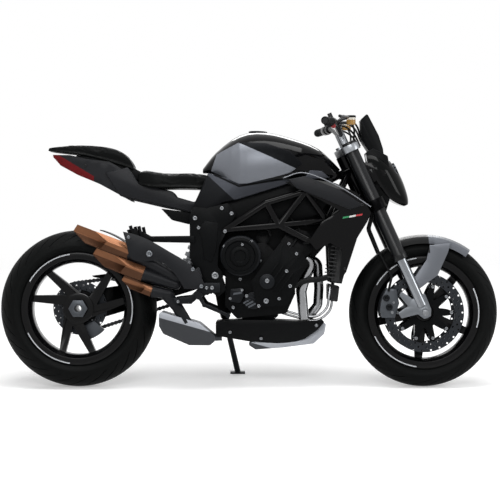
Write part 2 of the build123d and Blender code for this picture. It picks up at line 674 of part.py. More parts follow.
@cache
def engine_block():
    case = slab(outline(CRANKCASE, ENGINE_CORNER), -CRANKCASE_HALF, CRANKCASE_HALF)
    bank = slab(outline(CYLINDERS, ENGINE_CORNER), -CYLINDERS_HALF, CYLINDERS_HALF)
    head = slab(outline(HEAD_COVER, ENGINE_CORNER), -HEAD_COVER_HALF, HEAD_COVER_HALF)
    sump = slab(outline(SUMP, PLATE_CORNER), -SUMP_HALF, SUMP_HALF)
    proud = CRANKCASE_HALF + SPLIT_FLANGE_PROUD
    flange = slab(outline(SPLIT_FLANGE), -proud, proud)
    starter = drum(STARTER, STARTER_RADIUS, *STARTER_SIDES)
    ribs = barrel_ribs()
    return case + bank + head + sump + flange + starter + ribs + mirror(ribs, about=Plane.XZ)


def clutch_cover():
    # Two stepped drums with a chamfered rim, a cap and lobes that run out from it
    outer, face, cap = CLUTCH_RADII
    base, rim, front, top = CLUTCH_SIDES
    low = drum(CLUTCH, outer, -rim, -base)
    low = chamfer(low.edges().filter_by(GeomType.CIRCLE).group_by(Axis.Y)[0], COVER_CHAMFER)
    high = drum(CLUTCH, face, -front, -rim)
    high = chamfer(high.edges().filter_by(GeomType.CIRCLE).group_by(Axis.Y)[0], COVER_CHAMFER)
    shape = low + high + drum(CLUTCH, cap, -top, -front)
    wide, reach, turn = CLUTCH_LOBE
    proud = (top - front) / 2
    for k in range(CLUTCH_LOBES):
        lobe = Pos(cap + reach / 2 - COVER_CHAMFER, -front - proud / 2, 0) * Box(reach, proud, wide)
        shape += Pos(CLUTCH[0], 0, CLUTCH[1]) * Rot(0, turn + 360 / CLUTCH_LOBES * k, 0) * lobe
    return shape


def pump_cover():
    shape = drum(PUMP, PUMP_RADIUS, -CRANKCASE_HALF - PUMP_DEPTH, -CRANKCASE_HALF)
    length, high, wide = PUMP_RIB
    for k in range(PUMP_RIBS):
        rise = (k - (PUMP_RIBS - 1) / 2) * PUMP_RIB_STEP
        rib = Pos(0, -CRANKCASE_HALF - PUMP_DEPTH, rise) * Box(length, 2 * high, wide)
        shape += Pos(PUMP[0], 0, PUMP[1]) * Rot(0, PUMP_RIB_TILT, 0) * rib
    return shape


def engine_covers():
    block = engine_block()
    crank = drum(CRANK_END, CRANK_END_RADIUS, -CYLINDERS_HALF - COVER_DEPTH / 2, -CYLINDERS_HALF)
    crank += drum(CRANK_END, CRANK_CAP_RADIUS, -CYLINDERS_HALF - CRANK_CAP_DEPTH, -CYLINDERS_HALF)
    selector = slab(outline(SELECTOR, PLATE_CORNER), -CRANKCASE_HALF - PUMP_DEPTH / 2, -CRANKCASE_HALF)
    alternator = drum(ALTERNATOR, ALTERNATOR_RADIUS, CYLINDERS_HALF, CYLINDERS_HALF + COVER_DEPTH)
    cap = CYLINDERS_HALF + ALTERNATOR_CAP_DEPTH
    alternator += drum(ALTERNATOR, ALTERNATOR_CAP_RADIUS, CYLINDERS_HALF, cap)
    teeth = pitch_radius(FRONT_TEETH) - CHAIN_PIN_HEIGHT - FIT
    sprocket = drum(FRONT_SPROCKET, teeth, CRANKCASE_HALF, CHAIN_SIDE + CHAIN_HALF)
    pieces = [clutch_cover(), crank, pump_cover(), selector, alternator, sprocket]
    return group(*[piece - block for piece in pieces])


def airbox():
    return slab(outline(AIRBOX, ENGINE_CORNER), -AIRBOX_HALF, AIRBOX_HALF) - trellis() - engine_block()


@cache
def radiator():
    core = Box(RADIATOR_THICK, 2 * RADIATOR_HALF, RADIATOR_HEIGHT)
    core = Pos(RADIATOR_THICK / 2, 0, RADIATOR_HEIGHT / 2) * core
    tank = Pos(RADIATOR_THICK / 2, RADIATOR_HALF - RADIATOR_TANK / 2, RADIATOR_HEIGHT / 2)
    tank *= Box(RADIATOR_THICK + RADIATOR_TANK / 2, RADIATOR_TANK, RADIATOR_HEIGHT)
    for k in range(RADIATOR_LOUVRES):
        height = RADIATOR_HEIGHT * (k + 1) / (RADIATOR_LOUVRES + 1)
        tank += Pos(-RADIATOR_LOUVRE[0] / 4, RADIATOR_HALF, height) * Box(*RADIATOR_LOUVRE)
    shape = core + tank + mirror(tank, about=Plane.XZ)
    leaned = Pos(RADIATOR_FOOT[0], 0, RADIATOR_FOOT[1]) * Rot(0, RADIATOR_LEAN, 0) * shape
    top = (RADIATOR_FOOT[0] + RADIATOR_HEIGHT * sin(radians(RADIATOR_LEAN)) + RADIATOR_THICK / 2, NODE_E[1],
           RADIATOR_FOOT[1] + RADIATOR_HEIGHT - RADIATOR_TANK)
    stay = rod(top, NODE_E, TUBE_RADIUS / 2)
    return leaned + stay + mirror(stay, about=Plane.XZ) - trellis()


def oil_cooler():
    box = slab(outline(OIL_COOLER, PLATE_CORNER), -OIL_COOLER_HALF, OIL_COOLER_HALF)
    middle = (OIL_COOLER[0][0] + OIL_COOLER[1][0]) / 2
    low, high = OIL_COOLER[1][1] - PLATE_CORNER, RADIATOR_FOOT[1] + PLATE_CORNER
    stay = rod((middle, 0, low), (middle, 0, high), PLATE_CORNER)
    return box + stay - radiator()


def exhaust_headers():
    pipes = []
    for side in HEADER_SIDES:
        path = HEADER_SIDE_PATH if side else HEADER_MID_PATH
        pipe = bent_tube([(x, side, z) for x, z in path], HEADER_BEND, HEADER_RADIUS)
        pipes.append(pipe - engine_block() - belly_pan())
    return group(*pipes)


def crease(shape, line, side):
    # Leans one flank in below a line drawn on it, as a folded sheet does
    (x0, z0), (x1, z1) = line
    along = Vector(x1 - x0, 0, z1 - z0).normalized()
    down = Vector(along.Z, 0, -along.X)
    inward = Vector(0, -1 if side > 0 else 1, 0)
    sloped = down * cos(radians(CREASE_LEAN)) + inward * sin(radians(CREASE_LEAN))
    normal = along.cross(sloped)
    normal = normal if normal.Y * side > 0 else normal * -1
    return split(shape, bisect_by=Plane(origin=(x0, side, z0), z_dir=normal), keep=Keep.BOTTOM)


@cache
def belly_pan():
    pan = slab(outline(BELLY, PLATE_CORNER), -BELLY_HALF, BELLY_HALF)
    return crease(crease(pan, BELLY_CREASE, BELLY_HALF), BELLY_CREASE, -BELLY_HALF) - engine_block()


def exhaust_collector():
    return slab(outline(COLLECTOR, PLATE_CORNER), -COLLECTOR_HALF, COLLECTOR_HALF) - belly_pan()


@cache
def silencer_box():
    case = crease(slab(outline(BOX, BOX_CORNER), *BOX_SIDES), BOX_CREASE, BOX_SIDES[0])
    return case + rod(*BOX_INLET, BOX_INLET_RADIUS) - belly_pan()


def canister(start, end, radii):
    # A tapered silencer with a domed front end
    way = Vector(end[0] - start[0], 0, end[1] - start[1])
    face = Plane(origin=(start[0], CAN_SIDE, start[1]), z_dir=way)
    cone = Solid.make_cone(radii[0], radii[1], way.length, face)
    return cone + Pos(end[0], CAN_SIDE, end[1]) * Sphere(radii[1])


def arch_bracket():
    # The outer plate that hangs the silencers, with a tab that reaches in to the frame plate
    edge = [Spline(*ARCH_OUTER), Polyline(ARCH_OUTER[-1], *ARCH_FOOT, ARCH_INNER[0]), Spline(*ARCH_INNER),
            Line(ARCH_INNER[-1], ARCH_OUTER[0])]
    plate = slab(make_face(edge), *ARCH_SIDES)
    tab = slab(outline(ARCH_TAB, PLATE_CORNER), ARCH_SIDES[1], -PLATE_SIDES[1] - FIT)
    return plate + tab + drum(ARCH_BOLT, ARCH_BOLT_RADIUS, ARCH_SIDES[1], CAN_SIDE)


@cache
def silencer_shroud():
    shape = arch_bracket()
    for start, end, radii in zip(CAN_STARTS, CAN_ENDS, CAN_RADII):
        shape += canister(start, end, radii)
    link = bent_tube([(x, LINK_SIDE, z) for x, z in LINK_PATH], LINK_RADIUS, LINK_RADIUS) - silencer_box()
    return shape + link


def exhaust_tip(start, scale, reach):
    # A six-sided tube along its own axis, cut off by a plane that leans out and up, with a floor inside
    rise = radians(TIP_RISE)
    axis = Plane(origin=(start[0], TIP_SIDE, start[1]), x_dir=(0, -1, 0), z_dir=(-cos(rise), 0, sin(rise)))
    wall = [(scale * q, scale * n) for q, n in TIP_SECTION]
    inner = offset(make_face(Polyline(*wall, close=True)), amount=-TIP_WALL)
    length = 2 * reach
    tube = extrude(outline(wall), amount=length) - Pos(0, 0, TIP_FLOOR) * extrude(inner, amount=length)
    mouth = Plane(origin=(0, 0, reach), z_dir=(TIP_SLASH_OUT, -TIP_SLASH_UP, 1))
    return axis.location * split(tube, bisect_by=mouth, keep=Keep.BOTTOM)


def exhaust_tips():
    shroud = silencer_shroud()
    tips = [exhaust_tip(*row) - shroud for row in zip(CAN_STARTS, TIP_SCALES, TIP_REACH)]
    return group(*[max(tip.solids(), key=lambda solid: solid.volume) for tip in tips])


def between(low, high, low_slope, high_slope, share):
    # A cubic from one value to the next that leaves and arrives at the given slopes
    square, cube = share ** 2, share ** 3
    ends = low * (2 * cube - 3 * square + 1) + high * (3 * square - 2 * cube)
    return ends + low_slope * (cube - 2 * square + share) + high_slope * (cube - square)


def tank_stations():
    # The drawn sections with smooth ones between them
    rows, slopes, stations = TANK_SECTIONS, [], []
    for k in range(len(rows)):
        before, after = rows[max(k - 1, 0)], rows[min(k + 1, len(rows) - 1)]
        slopes.append([(b - a) / (after[0] - before[0]) for a, b in zip(before, after)])
    for k in range(len(rows) - 1):
        span = rows[k + 1][0] - rows[k][0]
        for step in range(TANK_STEPS):
            values = zip(rows[k], rows[k + 1], slopes[k], slopes[k + 1])
            stations.append([between(a, b, span * u, span * v, step / TANK_STEPS) for a, b, u, v in values])
    return stations + [rows[-1]]


@cache
def tank_form(spread):
    # Sections across the bike: flat below, widest at the knee line, drawn in over the shoulder to the crown
    across, rise = TANK_SHOULDER
    faces = []
    for x, half, low, wide, top in tank_stations():
        half, top = half + spread, top + spread
        side = [(TANK_FOOT * half, low), (half, wide), (across * half, wide + rise * (top - wide))]
        crown = Spline(*side, (0, top), *[(-y, z) for y, z in reversed(side)])
        face = make_face([crown, Line(crown @ 1, crown @ 0)])
        faces.append(across_plane(x, 0) * face)
    return loft(faces, ruled=True)


def tank_tunnel():
    # The hollow under the tank's nose that clears the upper frame tubes on their way to the head
    start, end = Vector(*NODE_C), Vector(*head_point(HEAD_TOP_JOIN))
    reach = TUBE_RADIUS + TUNNEL_GAP

    def tube_at(x):
        share = (x - start.X) / (end.X - start.X)
        side = start.Y + share * (HEAD_TUBE_RADIUS / 2 - start.Y)
        return side + reach, start.Z + share * (end.Z - start.Z) + reach

    (wide, low), (narrow, high) = tube_at(TUNNEL_START), tube_at(end.X)
    under = min(row[2] for row in TANK_SECTIONS)
    side = outline([(TUNNEL_START, under), (TUNNEL_START, low), (end.X, high), (end.X, under)])
    plan = outline([(TUNNEL_START, wide), (TUNNEL_START, -wide), (end.X, -narrow), (end.X, narrow)])
    return slab(side, -wide, wide) & plan_prism(plan, under, high)


def fuel_tank():
    return tank_form(0) - tank_tunnel()


def tank_side_panels():
    widest = max(half for x, half, low, wide, top in TANK_SECTIONS)
    cut = slab(outline(PANEL, PLATE_CORNER), widest / 4, 2 * widest)
    return both((tank_form(PANEL_THICK) - tank_form(0)) & cut)


def side_fairings():
    inside = [(x, y) for x, y in FAIRING_PLAN]
    outside = [(x, y + FAIRING_THICK) for x, y in reversed(FAIRING_PLAN)]
    band = plan_prism(make_face([Spline(*inside), Line(inside[-1], outside[0]), Spline(*outside),
                                 Line(outside[-1], inside[0])]), FAIRING[10][1], FAIRING[1][1])
    panel = band & slab(outline(FAIRING), FAIRING_PLAN[-1][1] / 2, 2 * FAIRING_PLAN[0][1])
    peg = rod(NODE_C, (NODE_C[0], FAIRING_PLAN[1][1], NODE_C[2] + TUBE_RADIUS / 2), TUBE_RADIUS / 2)
    return both(panel + (peg - trellis()))


def rounded_loft(sections, corner):
    # Rounded oblongs across the bike, each from its half width and its lowest and highest points
    faces = []
    for x, half, low, high in sections:
        round_off = min(corner, (high - low) / 3)
        faces.append(across_plane(x, (low + high) / 2) * RectangleRounded(2 * half, high - low, round_off))
    return loft(faces)


@cache
def rider_seat():
    return rounded_loft(SEAT_SECTIONS, SEAT_CORNER)


@cache
def passenger_seat():
    return rounded_loft(PILLION_SECTIONS, PILLION_CORNER)


@cache
def tail_light():
    inner = [(LAMP[-1][0], LAMP[-1][1] + LAMP_DEPTH), (LAMP[0][0] + LAMP_DEPTH, LAMP[0][1])]
    return slab(outline(LAMP + inner), -LAMP_HALF, LAMP_HALF)


def tail_fairing():
    plan = plan_prism(smooth_plan(TAIL_PLAN), TAIL[6][1], TAIL[0][1])
    body = slab(outline(TAIL), -TAIL_PLAN[-1][1], TAIL_PLAN[-1][1]) & plan
    return body - tail_light() - passenger_seat() - rider_seat()


def rear_hugger():
    inner, outer = REAR_TYRE_RADIUS + 2 * DISC_GAP, REAR_TYRE_RADIUS + 2 * DISC_GAP + MUDGUARD_WALL
    half = REAR_TYRE_WIDTH / 2 - DISC_GAP
    first, last = HUGGER_ARC
    section = [(inner, -half), (outer, -half), (outer, half), (inner, half)]
    band = revolve(outline(section), axis=Axis.Y, revolution_arc=last - first)
    corners = [polar(outer, first), polar(outer, first + HUGGER_STAY), polar(inner - HUGGER_DROP, first)]
    side = REAR_TYRE_WIDTH / 2
    stay = slab(outline(corners), side - DISC_GAP, side + DISC_GAP + MUDGUARD_WALL)
    guard = Rot(0, -last, 0) * band + (stay - ring(inner, 0, 0, REAR_TYRE_WIDTH / 2 + DISC_GAP))
    return Pos(REAR_AXLE[0], 0, REAR_AXLE[1]) * guard - swingarm()


def disc_slot(radius, side):
    # The room that a brake disc runs in
    return ring(radius + DISC_GAP, 0, side - DISC_GAP, side + DISC_THICK + DISC_GAP)


def rear_caliper():
    # A block over the disc's edge, slotted for the disc, with a hanger to the hub carrier
    first, last = REAR_CALIPER_ANGLES
    inner, outer = REAR_CALIPER_RADII
    start, end = polar(outer, first), polar(outer, last)
    arc = ThreePointArc(start, polar(outer, (first + last) / 2), end)
    face = make_face([arc, Polyline(end, polar(inner, last), polar(inner, first), start)])
    slot = disc_slot(REAR_DISC_RADIUS, REAR_DISC_SIDE)
    seat = CARRIER_RADIUS - CALIPER_SEAT
    root = outline([polar(seat, first), polar(seat, last), polar(inner, last), polar(inner, first)])
    hanger = slab(root, REAR_CALIPER_SIDES[1] - REAR_CALIPER_HANGER, REAR_CALIPER_SIDES[1])
    return Pos(REAR_AXLE[0], 0, REAR_AXLE[1]) * (slab(face, *REAR_CALIPER_SIDES) - slot + hanger) - swingarm()


def rider_footrests():
    bracket = slab(outline(REST_BRACKET, PLATE_CORNER / 2), *REST_BRACKET_SIDES)
    pad = drum(REST_PAD, TUBE_RADIUS, PLATE_SIDES[1], REST_BRACKET_SIDES[0])
    peg = drum(PEG, PEG_RADIUS, REST_BRACKET_SIDES[1], REST_BRACKET_SIDES[1] + PEG_LENGTH)
    return both(bracket + pad + peg)


def passenger_footrests():
    # A hanger from the frame plate, with the two prongs of a peg that is folded up against it
    first, last = PILLION_HANGER_SIDES
    shape = slab(outline(PILLION_HANGER, PLATE_CORNER / 2), first, last)
    for (x0, z0), (x1, z1) in PILLION_PRONGS:
        side = last + PRONG_RADIUS / 2
        shape += rod((x0, side, z0), (x1, side, z1), PRONG_RADIUS)
    return both(shape)


def foot_controls():
    hub, elbow, toe = [(x, PEDAL_SIDE, z) for x, z in PEDAL]
    arm = rod(hub, elbow, PEDAL_RADIUS) + rod(elbow, toe, PEDAL_RADIUS)
    arm += Pos(*elbow) * Sphere(PEDAL_ELBOW_RADIUS)
    pad = drum(PEDAL[-1], PEDAL_PAD_RADIUS, PEDAL_SIDE, PEDAL_SIDE + PEDAL_PAD)
    boss = drum(PEDAL[0], 2 * PEDAL_RADIUS, REST_BRACKET_SIDES[1], PEDAL_SIDE + 2 * PEDAL_RADIUS)
    return both(arm + pad + boss)


def fork_leg(low, high, radius):
    return rod((0, FORK_HALF, low), (0, FORK_HALF, high), radius)


def fork_yokes():
    stem_top = UPPER_YOKE[1] + STEM_NUT / 2
    shape = yoke(*LOWER_YOKE) + yoke(*UPPER_YOKE)
    shape += rod((-YOKE_OFFSET, 0, LOWER_YOKE[0]), (-YOKE_OFFSET, 0, stem_top), STEM_RADIUS)
    bore_ends = LOWER_YOKE[0] - STEM_NUT, stem_top + STEM_NUT
    shape -= rod((-YOKE_OFFSET, 0, bore_ends[0]), (-YOKE_OFFSET, 0, bore_ends[1]), STEM_BORE)
    x, y, z = BAR_POINTS[2]
    riser = rod((x, RISER_HALF, UPPER_YOKE[1]), (x, RISER_HALF, z + BAR_RADIUS / 2), RISER_RADIUS)
    return shape + riser + mirror(riser, about=Plane.XZ) - handlebar()


def steering():
    # Everything that turns with the bars, drawn in the fork frame and then set in the bike
    outer = fork_leg(OUTER_TUBE_FROM, FORK_TOP, OUTER_TUBE_RADIUS)
    outer += fork_leg(OUTER_TUBE_FROM, OUTER_TUBE_FROM + SEAL_HEIGHT, SEAL_RADIUS)
    stanchion = fork_leg(STANCHION_FROM, OUTER_TUBE_FROM, STANCHION_RADIUS)
    axle = ring(FRONT_AXLE_RADIUS, 0, -FRONT_AXLE_HALF, FRONT_AXLE_HALF)
    foot = slab(outline(FOOT, PLATE_CORNER / 2), *FOOT_SIDES)
    foot += ring(FOOT_BOSS_RADIUS, 0, FOOT_SIDES[0], FOOT_BOSS_SIDE)
    foot = foot - stanchion - axle
    yokes = fork_yokes()
    parts = {
        "fork_yokes": yokes,
        "fork_outer_tubes": both(outer),
        "fork_stanchions": both(stanchion),
        "fork_feet": both(foot),
        "front_axle": axle,
        "front_calipers": both(front_caliper() - foot),
        "front_mudguard": front_mudguard() - both(outer),
        "headlight_shell": headlight_shell(),
        "headlight_lens": headlight_lens(),
        "instrument_cowl": instrument_cowl() - yokes,
        "handlebar": handlebar(),
        "grips": grips(),
        "controls": controls(),
        "fluid_reservoirs": fluid_reservoirs(),
        "brake_hoses": brake_hoses() - yokes - both(foot),
    }
    return {name: FORK_FRAME.location * shape for name, shape in parts.items()}


def yoke(low, high):
    # Two clamp rings joined by a web that narrows behind the stem
    clamp, stem = OUTER_TUBE_RADIUS + YOKE_WALL, STEM_RADIUS + YOKE_WALL
    front, back = YOKE_WAIST[0] * clamp, -YOKE_WAIST[1] * clamp
    half = [(front, FORK_HALF), (back, FORK_HALF), (-YOKE_OFFSET - stem, stem / 2)]
    web = outline([(YOKE_OFFSET / 3, 0), *half, *[(x, -y) for x, y in reversed(half)]])
    holes = Pos(0, FORK_HALF) * Circle(OUTER_TUBE_RADIUS) + Pos(0, -FORK_HALF) * Circle(OUTER_TUBE_RADIUS)
    clamps = Pos(0, FORK_HALF) * Circle(clamp) + Pos(0, -FORK_HALF) * Circle(clamp)
    return plan_prism(clamps + web - holes, low, high)


def front_caliper():
    first, last = FRONT_CALIPER_SIDES
    block = slab(outline(CALIPER, PLATE_CORNER / 2), first, last)
    reach = ring(RIM_INNER_RADIUS - DISC_GAP, 0, first, last)
    return (block & reach) - disc_slot(FRONT_DISC_RADIUS, FRONT_DISC_SIDE)


def front_mudguard():
    # A thin section carried round the tyre, with a stay on each side that runs to the fork leg
    inner = FRONT_TYRE_RADIUS + MUDGUARD_GAP
    outer, half, wall = inner + MUDGUARD_WALL, MUDGUARD_HALF, MUDGUARD_WALL
    crown, shoulder, hem = MUDGUARD_CROWN * half, MUDGUARD_SHOULDER, MUDGUARD_SKIRT
    right = [(outer, crown), (outer - shoulder, half), (outer - hem, half), (outer - hem, half - wall),
             (inner - shoulder, half - wall), (inner, crown - wall)]
    section = outline(right + [(radius, -y) for radius, y in reversed(right)])
    first, last = MUDGUARD_ARC
    shell = Rot(0, -last, 0) * revolve(section, axis=Axis.Y, revolution_arc=last - first)
    stay = slab(outline(MUDGUARD_STAY, PLATE_CORNER / 2), *MUDGUARD_STAY_SIDES)
    stay += slab(outline(MUDGUARD_STAY_HEAD), MUDGUARD_HALF, MUDGUARD_STAY_SIDES[0])
    boss = drum(STAY_BOSS, STAY_BOSS_RADIUS, MUDGUARD_STAY_SIDES[1], FORK_HALF - STANCHION_RADIUS / 2)
    stays = stay + boss - fork_leg(STANCHION_FROM, OUTER_TUBE_FROM, STANCHION_RADIUS)
    return shell + stays + mirror(stays, about=Plane.XZ)


@cache
def headlight_form():
    faces = []
    ahead, wide = HEADLIGHT_CHEEK
    for height, back, front, half in HEADLIGHT_SECTIONS:
        cheek = (back + ahead * (front - back), wide * half)
        nose = Spline((back, half), cheek, (front, 0), (cheek[0], -cheek[1]), (back, -half))
        faces.append(Pos(0, 0, height) * make_face([nose, Line(nose @ 1, nose @ 0)]))
    return loft(faces)


@cache
def headlight_lens():
    return headlight_form() - Pos(-LENS_DEPTH, 0, 0) * headlight_form()


def headlight_shell():
    # The housing, with an arm on each side that reaches back to the fork legs
    arm = Pos(LAMP_ARM[0] / 2, FORK_HALF - LAMP_ARM[1] / 2, LAMP_ARM_HEIGHT) * Box(*LAMP_ARM)
    arm -= fork_leg(OUTER_TUBE_FROM, FORK_TOP, OUTER_TUBE_RADIUS)
    return headlight_form() - headlight_lens() + arm + mirror(arm, about=Plane.XZ)


def instrument_cowl():
    plan = plan_prism(smooth_plan(COWL_PLAN), COWL[3][1], COWL[0][1])
    pod = slab(outline(COWL, PLATE_CORNER), -COWL_PLAN[1][1], COWL_PLAN[1][1]) & plan
    return pod - headlight_form()


@cache
def handlebar():
    points = BAR_POINTS + [(x, -y, z) for x, y, z in reversed(BAR_POINTS)]
    return bent_tube(points, BAR_BEND, BAR_RADIUS)


def bar_point(length):
    # Distance in from the left bar end, along the straight outer run
    end, bend = Vector(*BAR_POINTS[0]), Vector(*BAR_POINTS[1])
    return end + (bend - end).normalized() * length


def bar_sleeve(first, last, radius):
    return rod(bar_point(first), bar_point(last), radius)


def grips():
    return both(bar_sleeve(-GRIP_END, GRIP_LENGTH, GRIP_RADIUS) - handlebar())


@cache
def controls():
    # Switch block, perch with its mirror boss, and a lever that runs ahead of the grip
    box_end = GRIP_LENGTH + SWITCH_LENGTH
    switch = bar_sleeve(GRIP_LENGTH + CLAMP_GAP, box_end, SWITCH_RADIUS)
    perch = bar_sleeve(box_end + CLAMP_GAP, box_end + PERCH_LENGTH, PERCH_RADIUS)
    centre = bar_point(box_end + PERCH_LENGTH / 2)
    top = centre + Vector(0, 0, SWITCH_RADIUS + MIRROR_DEPTH)
    boss = rod(centre, top, MIRROR_BOSS) - rod(top - Vector(0, 0, MIRROR_DEPTH), top, MIRROR_BORE)
    ahead, tip = Vector(LEVER_REACH, 0, -LEVER_RADIUS), Vector(LEVER_TIP_REACH, 0, -LEVER_RADIUS)
    route = [centre, centre + ahead, bar_point(LEVER_SPAN[0]) + ahead, bar_point(LEVER_SPAN[1]) + tip]
    return both(switch + perch + boss + bent_tube(route, 2 * LEVER_RADIUS, LEVER_RADIUS) - handlebar())


def fluid_reservoirs():
    x, y, z = RESERVOIR_AT
    pot = rod((x, y, z), (x, y, z + RESERVOIR_HEIGHT), RESERVOIR_RADIUS)
    stalk = rod((x, y, z + LEVER_RADIUS), (BAR_POINTS[1][0], y, BAR_POINTS[1][2]), LEVER_RADIUS)
    return both(pot + stalk - handlebar() - controls())


def brake_hoses():
    return both(bent_tube(HOSE_POINTS, 6 * HOSE_RADIUS, HOSE_RADIUS))


def side_stand():
    # The leg runs from its eye to the point of the ground under the leaning bike's left side
    up, foot, pivot = ground_normal(), stand_foot_point(), stand_pivot_point()
    half = stand_axis() * (STAND_EYE_WIDTH / 2)
    eye = rod(pivot - half, pivot + half, STAND_EYE_RADIUS)
    leg = rod(pivot, foot + up * STAND_PAD[2], STAND_RADIUS)
    pad = Plane(origin=(foot + up * STAND_PAD[2] / 2), x_dir=(1, 0, 0), z_dir=up).location * Box(*STAND_PAD)
    return eye + leg + pad


def stand_axis():
    # The hinge that carries the leg from standing to stowed, as near to crosswise as can be
    down = (stand_foot_point() - stand_pivot_point()).normalized()
    stowed = Vector(*STAND_STOWED).normalized()
    change = down - stowed
    cross = Vector(0, 1, 0)
    return (cross - change * (cross.dot(change) / change.dot(change))).normalized()


def stand_pivot_point():
    return Vector(STAND_PIVOT[0], PLATE_SIDES[1] + STAND_BOSS + STAND_EYE_WIDTH / 2, STAND_PIVOT[1])


def stand_boss():
    # The lug's round face that the stand's eye turns on
    face = stand_pivot_point() - stand_axis() * (STAND_EYE_WIDTH / 2 + FIT)
    return rod(face - stand_axis() * (STAND_BOSS + STAND_RADIUS), face, STAND_EYE_RADIUS)


def stand_foot_point():
    x, y = STAND_FOOT
    return Vector(x, y, ground_height(x, y))


def lean_reach(radius, width):
    # How far below its own axle the leaning tyre meets the ground
    return max(r * cos(radians(LEAN)) + y * sin(radians(LEAN)) for r, y in crown_points(radius, width))


def rest_pitch():
    # The small nose-up turn that keeps both tyres on the ground when the bike leans
    run = FRONT_AXLE[0] - REAR_AXLE[0]
    rise = FRONT_AXLE[1] - REAR_AXLE[1]
    reach = lean_reach(FRONT_TYRE_RADIUS, FRONT_TYRE_WIDTH) - lean_reach(REAR_TYRE_RADIUS, REAR_TYRE_WIDTH)
    wanted = asin(reach / cos(radians(LEAN)) / hypot(run, rise))
    return degrees(wanted - atan2(rise, run))


@cache
def rest_location():
    turned = Rot(-LEAN, 0, 0) * Rot(0, -rest_pitch(), 0)
    axle = (turned * Pos(REAR_AXLE[0], 0, REAR_AXLE[1])).position
    return Pos(0, 0, lean_reach(REAR_TYRE_RADIUS, REAR_TYRE_WIDTH) - axle.Z) * turned


def ground_normal():
    back = rest_location().inverse()
    return (back * Pos(0, 0, 1)).position - back.position


def ground_height(x, y):
    # The bike-frame height at which the ground lies under a point of the leaning bike
    origin, up = rest_location().inverse().position, ground_normal()
    return origin.Z - ((x - origin.X) * up.X + (y - origin.Y) * up.Y) / up.Z


def build():
    parts = {
        "trellis_frame": trellis(),
        "frame_plates": frame_plates(),
        "subframe": subframe(),
        "engine_block": engine_block(),
        "engine_covers": engine_covers(),
        "airbox": airbox(),
        "radiator": radiator(),
        "oil_cooler": oil_cooler(),
        "exhaust_headers": exhaust_headers(),
        "exhaust_collector": exhaust_collector(),
        "belly_pan": belly_pan(),
        "silencer_box": silencer_box(),
        "silencer_shroud": silencer_shroud(),
        "exhaust_tips": exhaust_tips(),
        "fuel_tank": fuel_tank(),
        "tank_side_panels": tank_side_panels(),
        "side_fairings": side_fairings(),
        "rider_seat": rider_seat(),
        "passenger_seat": passenger_seat(),
        "tail_fairing": tail_fairing(),
        "tail_light": tail_light(),
        "swingarm": swingarm(),
        "rear_shock": rear_shock(),
        "chain": chain(),
        "chain_guard": chain_guard(),
        "rear_hugger": rear_hugger(),
        "rear_caliper": rear_caliper(),
        "rider_footrests": rider_footrests(),
        "passenger_footrests": passenger_footrests(),
        "foot_controls": foot_controls(),
        "side_stand": side_stand(),
    }
    parts.update(wheels())
    parts.update(steering())
    return parts


def row_location(parts):
    # Stands the bike on its stand and moves it over the middle of its own footprint
    rest = rest_location()
    boxes = [(rest * shape).bounding_box() for shape in parts.values()]
    low_x, high_x = min(b.min.X for b in boxes), max(b.max.X for b in boxes)
    low_y, high_y = min(b.min.Y for b in boxes), max(b.max.Y for b in boxes)
    low_z = min(b.min.Z for b in boxes)
    return Pos(-(low_x + high_x) / 2, -(low_y + high_y) / 2, -low_z) * rest


def main():
    os.makedirs("parts", exist_ok=True)
    parts = build()
    row = row_location(parts)
    for name, shape in parts.items():
        export_step(row * shape, f"parts/{name}.step")


if __name__ == "__main__":
    main()
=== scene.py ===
import bmesh
import bpy
import json
import numpy as np
from mathutils import Matrix, Vector
from mathutils.bvhtree import BVHTree


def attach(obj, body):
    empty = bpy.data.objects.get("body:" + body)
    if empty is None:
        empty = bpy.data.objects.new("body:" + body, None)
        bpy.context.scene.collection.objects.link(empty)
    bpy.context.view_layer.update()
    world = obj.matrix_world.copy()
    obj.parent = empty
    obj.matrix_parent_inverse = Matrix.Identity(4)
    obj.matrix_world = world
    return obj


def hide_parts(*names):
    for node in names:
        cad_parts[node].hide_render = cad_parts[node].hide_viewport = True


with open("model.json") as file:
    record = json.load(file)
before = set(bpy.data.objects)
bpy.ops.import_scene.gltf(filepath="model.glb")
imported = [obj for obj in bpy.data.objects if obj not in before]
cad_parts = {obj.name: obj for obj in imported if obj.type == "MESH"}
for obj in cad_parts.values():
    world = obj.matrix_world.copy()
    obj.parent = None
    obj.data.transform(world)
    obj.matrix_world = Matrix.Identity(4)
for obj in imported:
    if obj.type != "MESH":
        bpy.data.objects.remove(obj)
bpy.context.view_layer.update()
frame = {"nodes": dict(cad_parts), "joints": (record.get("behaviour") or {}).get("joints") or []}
nodes = frame["nodes"]
scene = bpy.context.scene
print("frame loaded")

# Sizes are in millimetres, in the bike's own upright frame: x forward from the swingarm pivot, y left, z up
stance = {"rearAxle": (-552.0, 0.0, 318.0), "frontAxle": (847.65, 0.0, 302.46), "rake": 24.5}
joints = {j["name"]: j for j in frame["joints"]}
mergeWithin = 0.00002  # metres: points nearer than this are one


def unit(v):
    return np.asarray(v, float) / np.linalg.norm(v)


# The run between the axles and the axle's own direction fix the turn from bike frame to row frame
rearAt = np.array(joints["rear_wheel_spin"]["pos_m"])
rowRun = unit(np.array(joints["front_wheel_spin"]["pos_m"]) - rearAt)
rowAcross = unit(joints["rear_wheel_spin"]["axis"])
bikeRun = unit(np.subtract(stance["frontAxle"], stance["rearAxle"]))
bikeAxes = np.stack([bikeRun, (0, 1, 0), np.cross(bikeRun, (0, 1, 0))], axis=1)
rowAxes = np.stack([rowRun, rowAcross, np.cross(rowRun, rowAcross)], axis=1)
bikeTurn = rowAxes @ bikeAxes.T
down = Vector(bikeTurn @ (0, 0, -1))


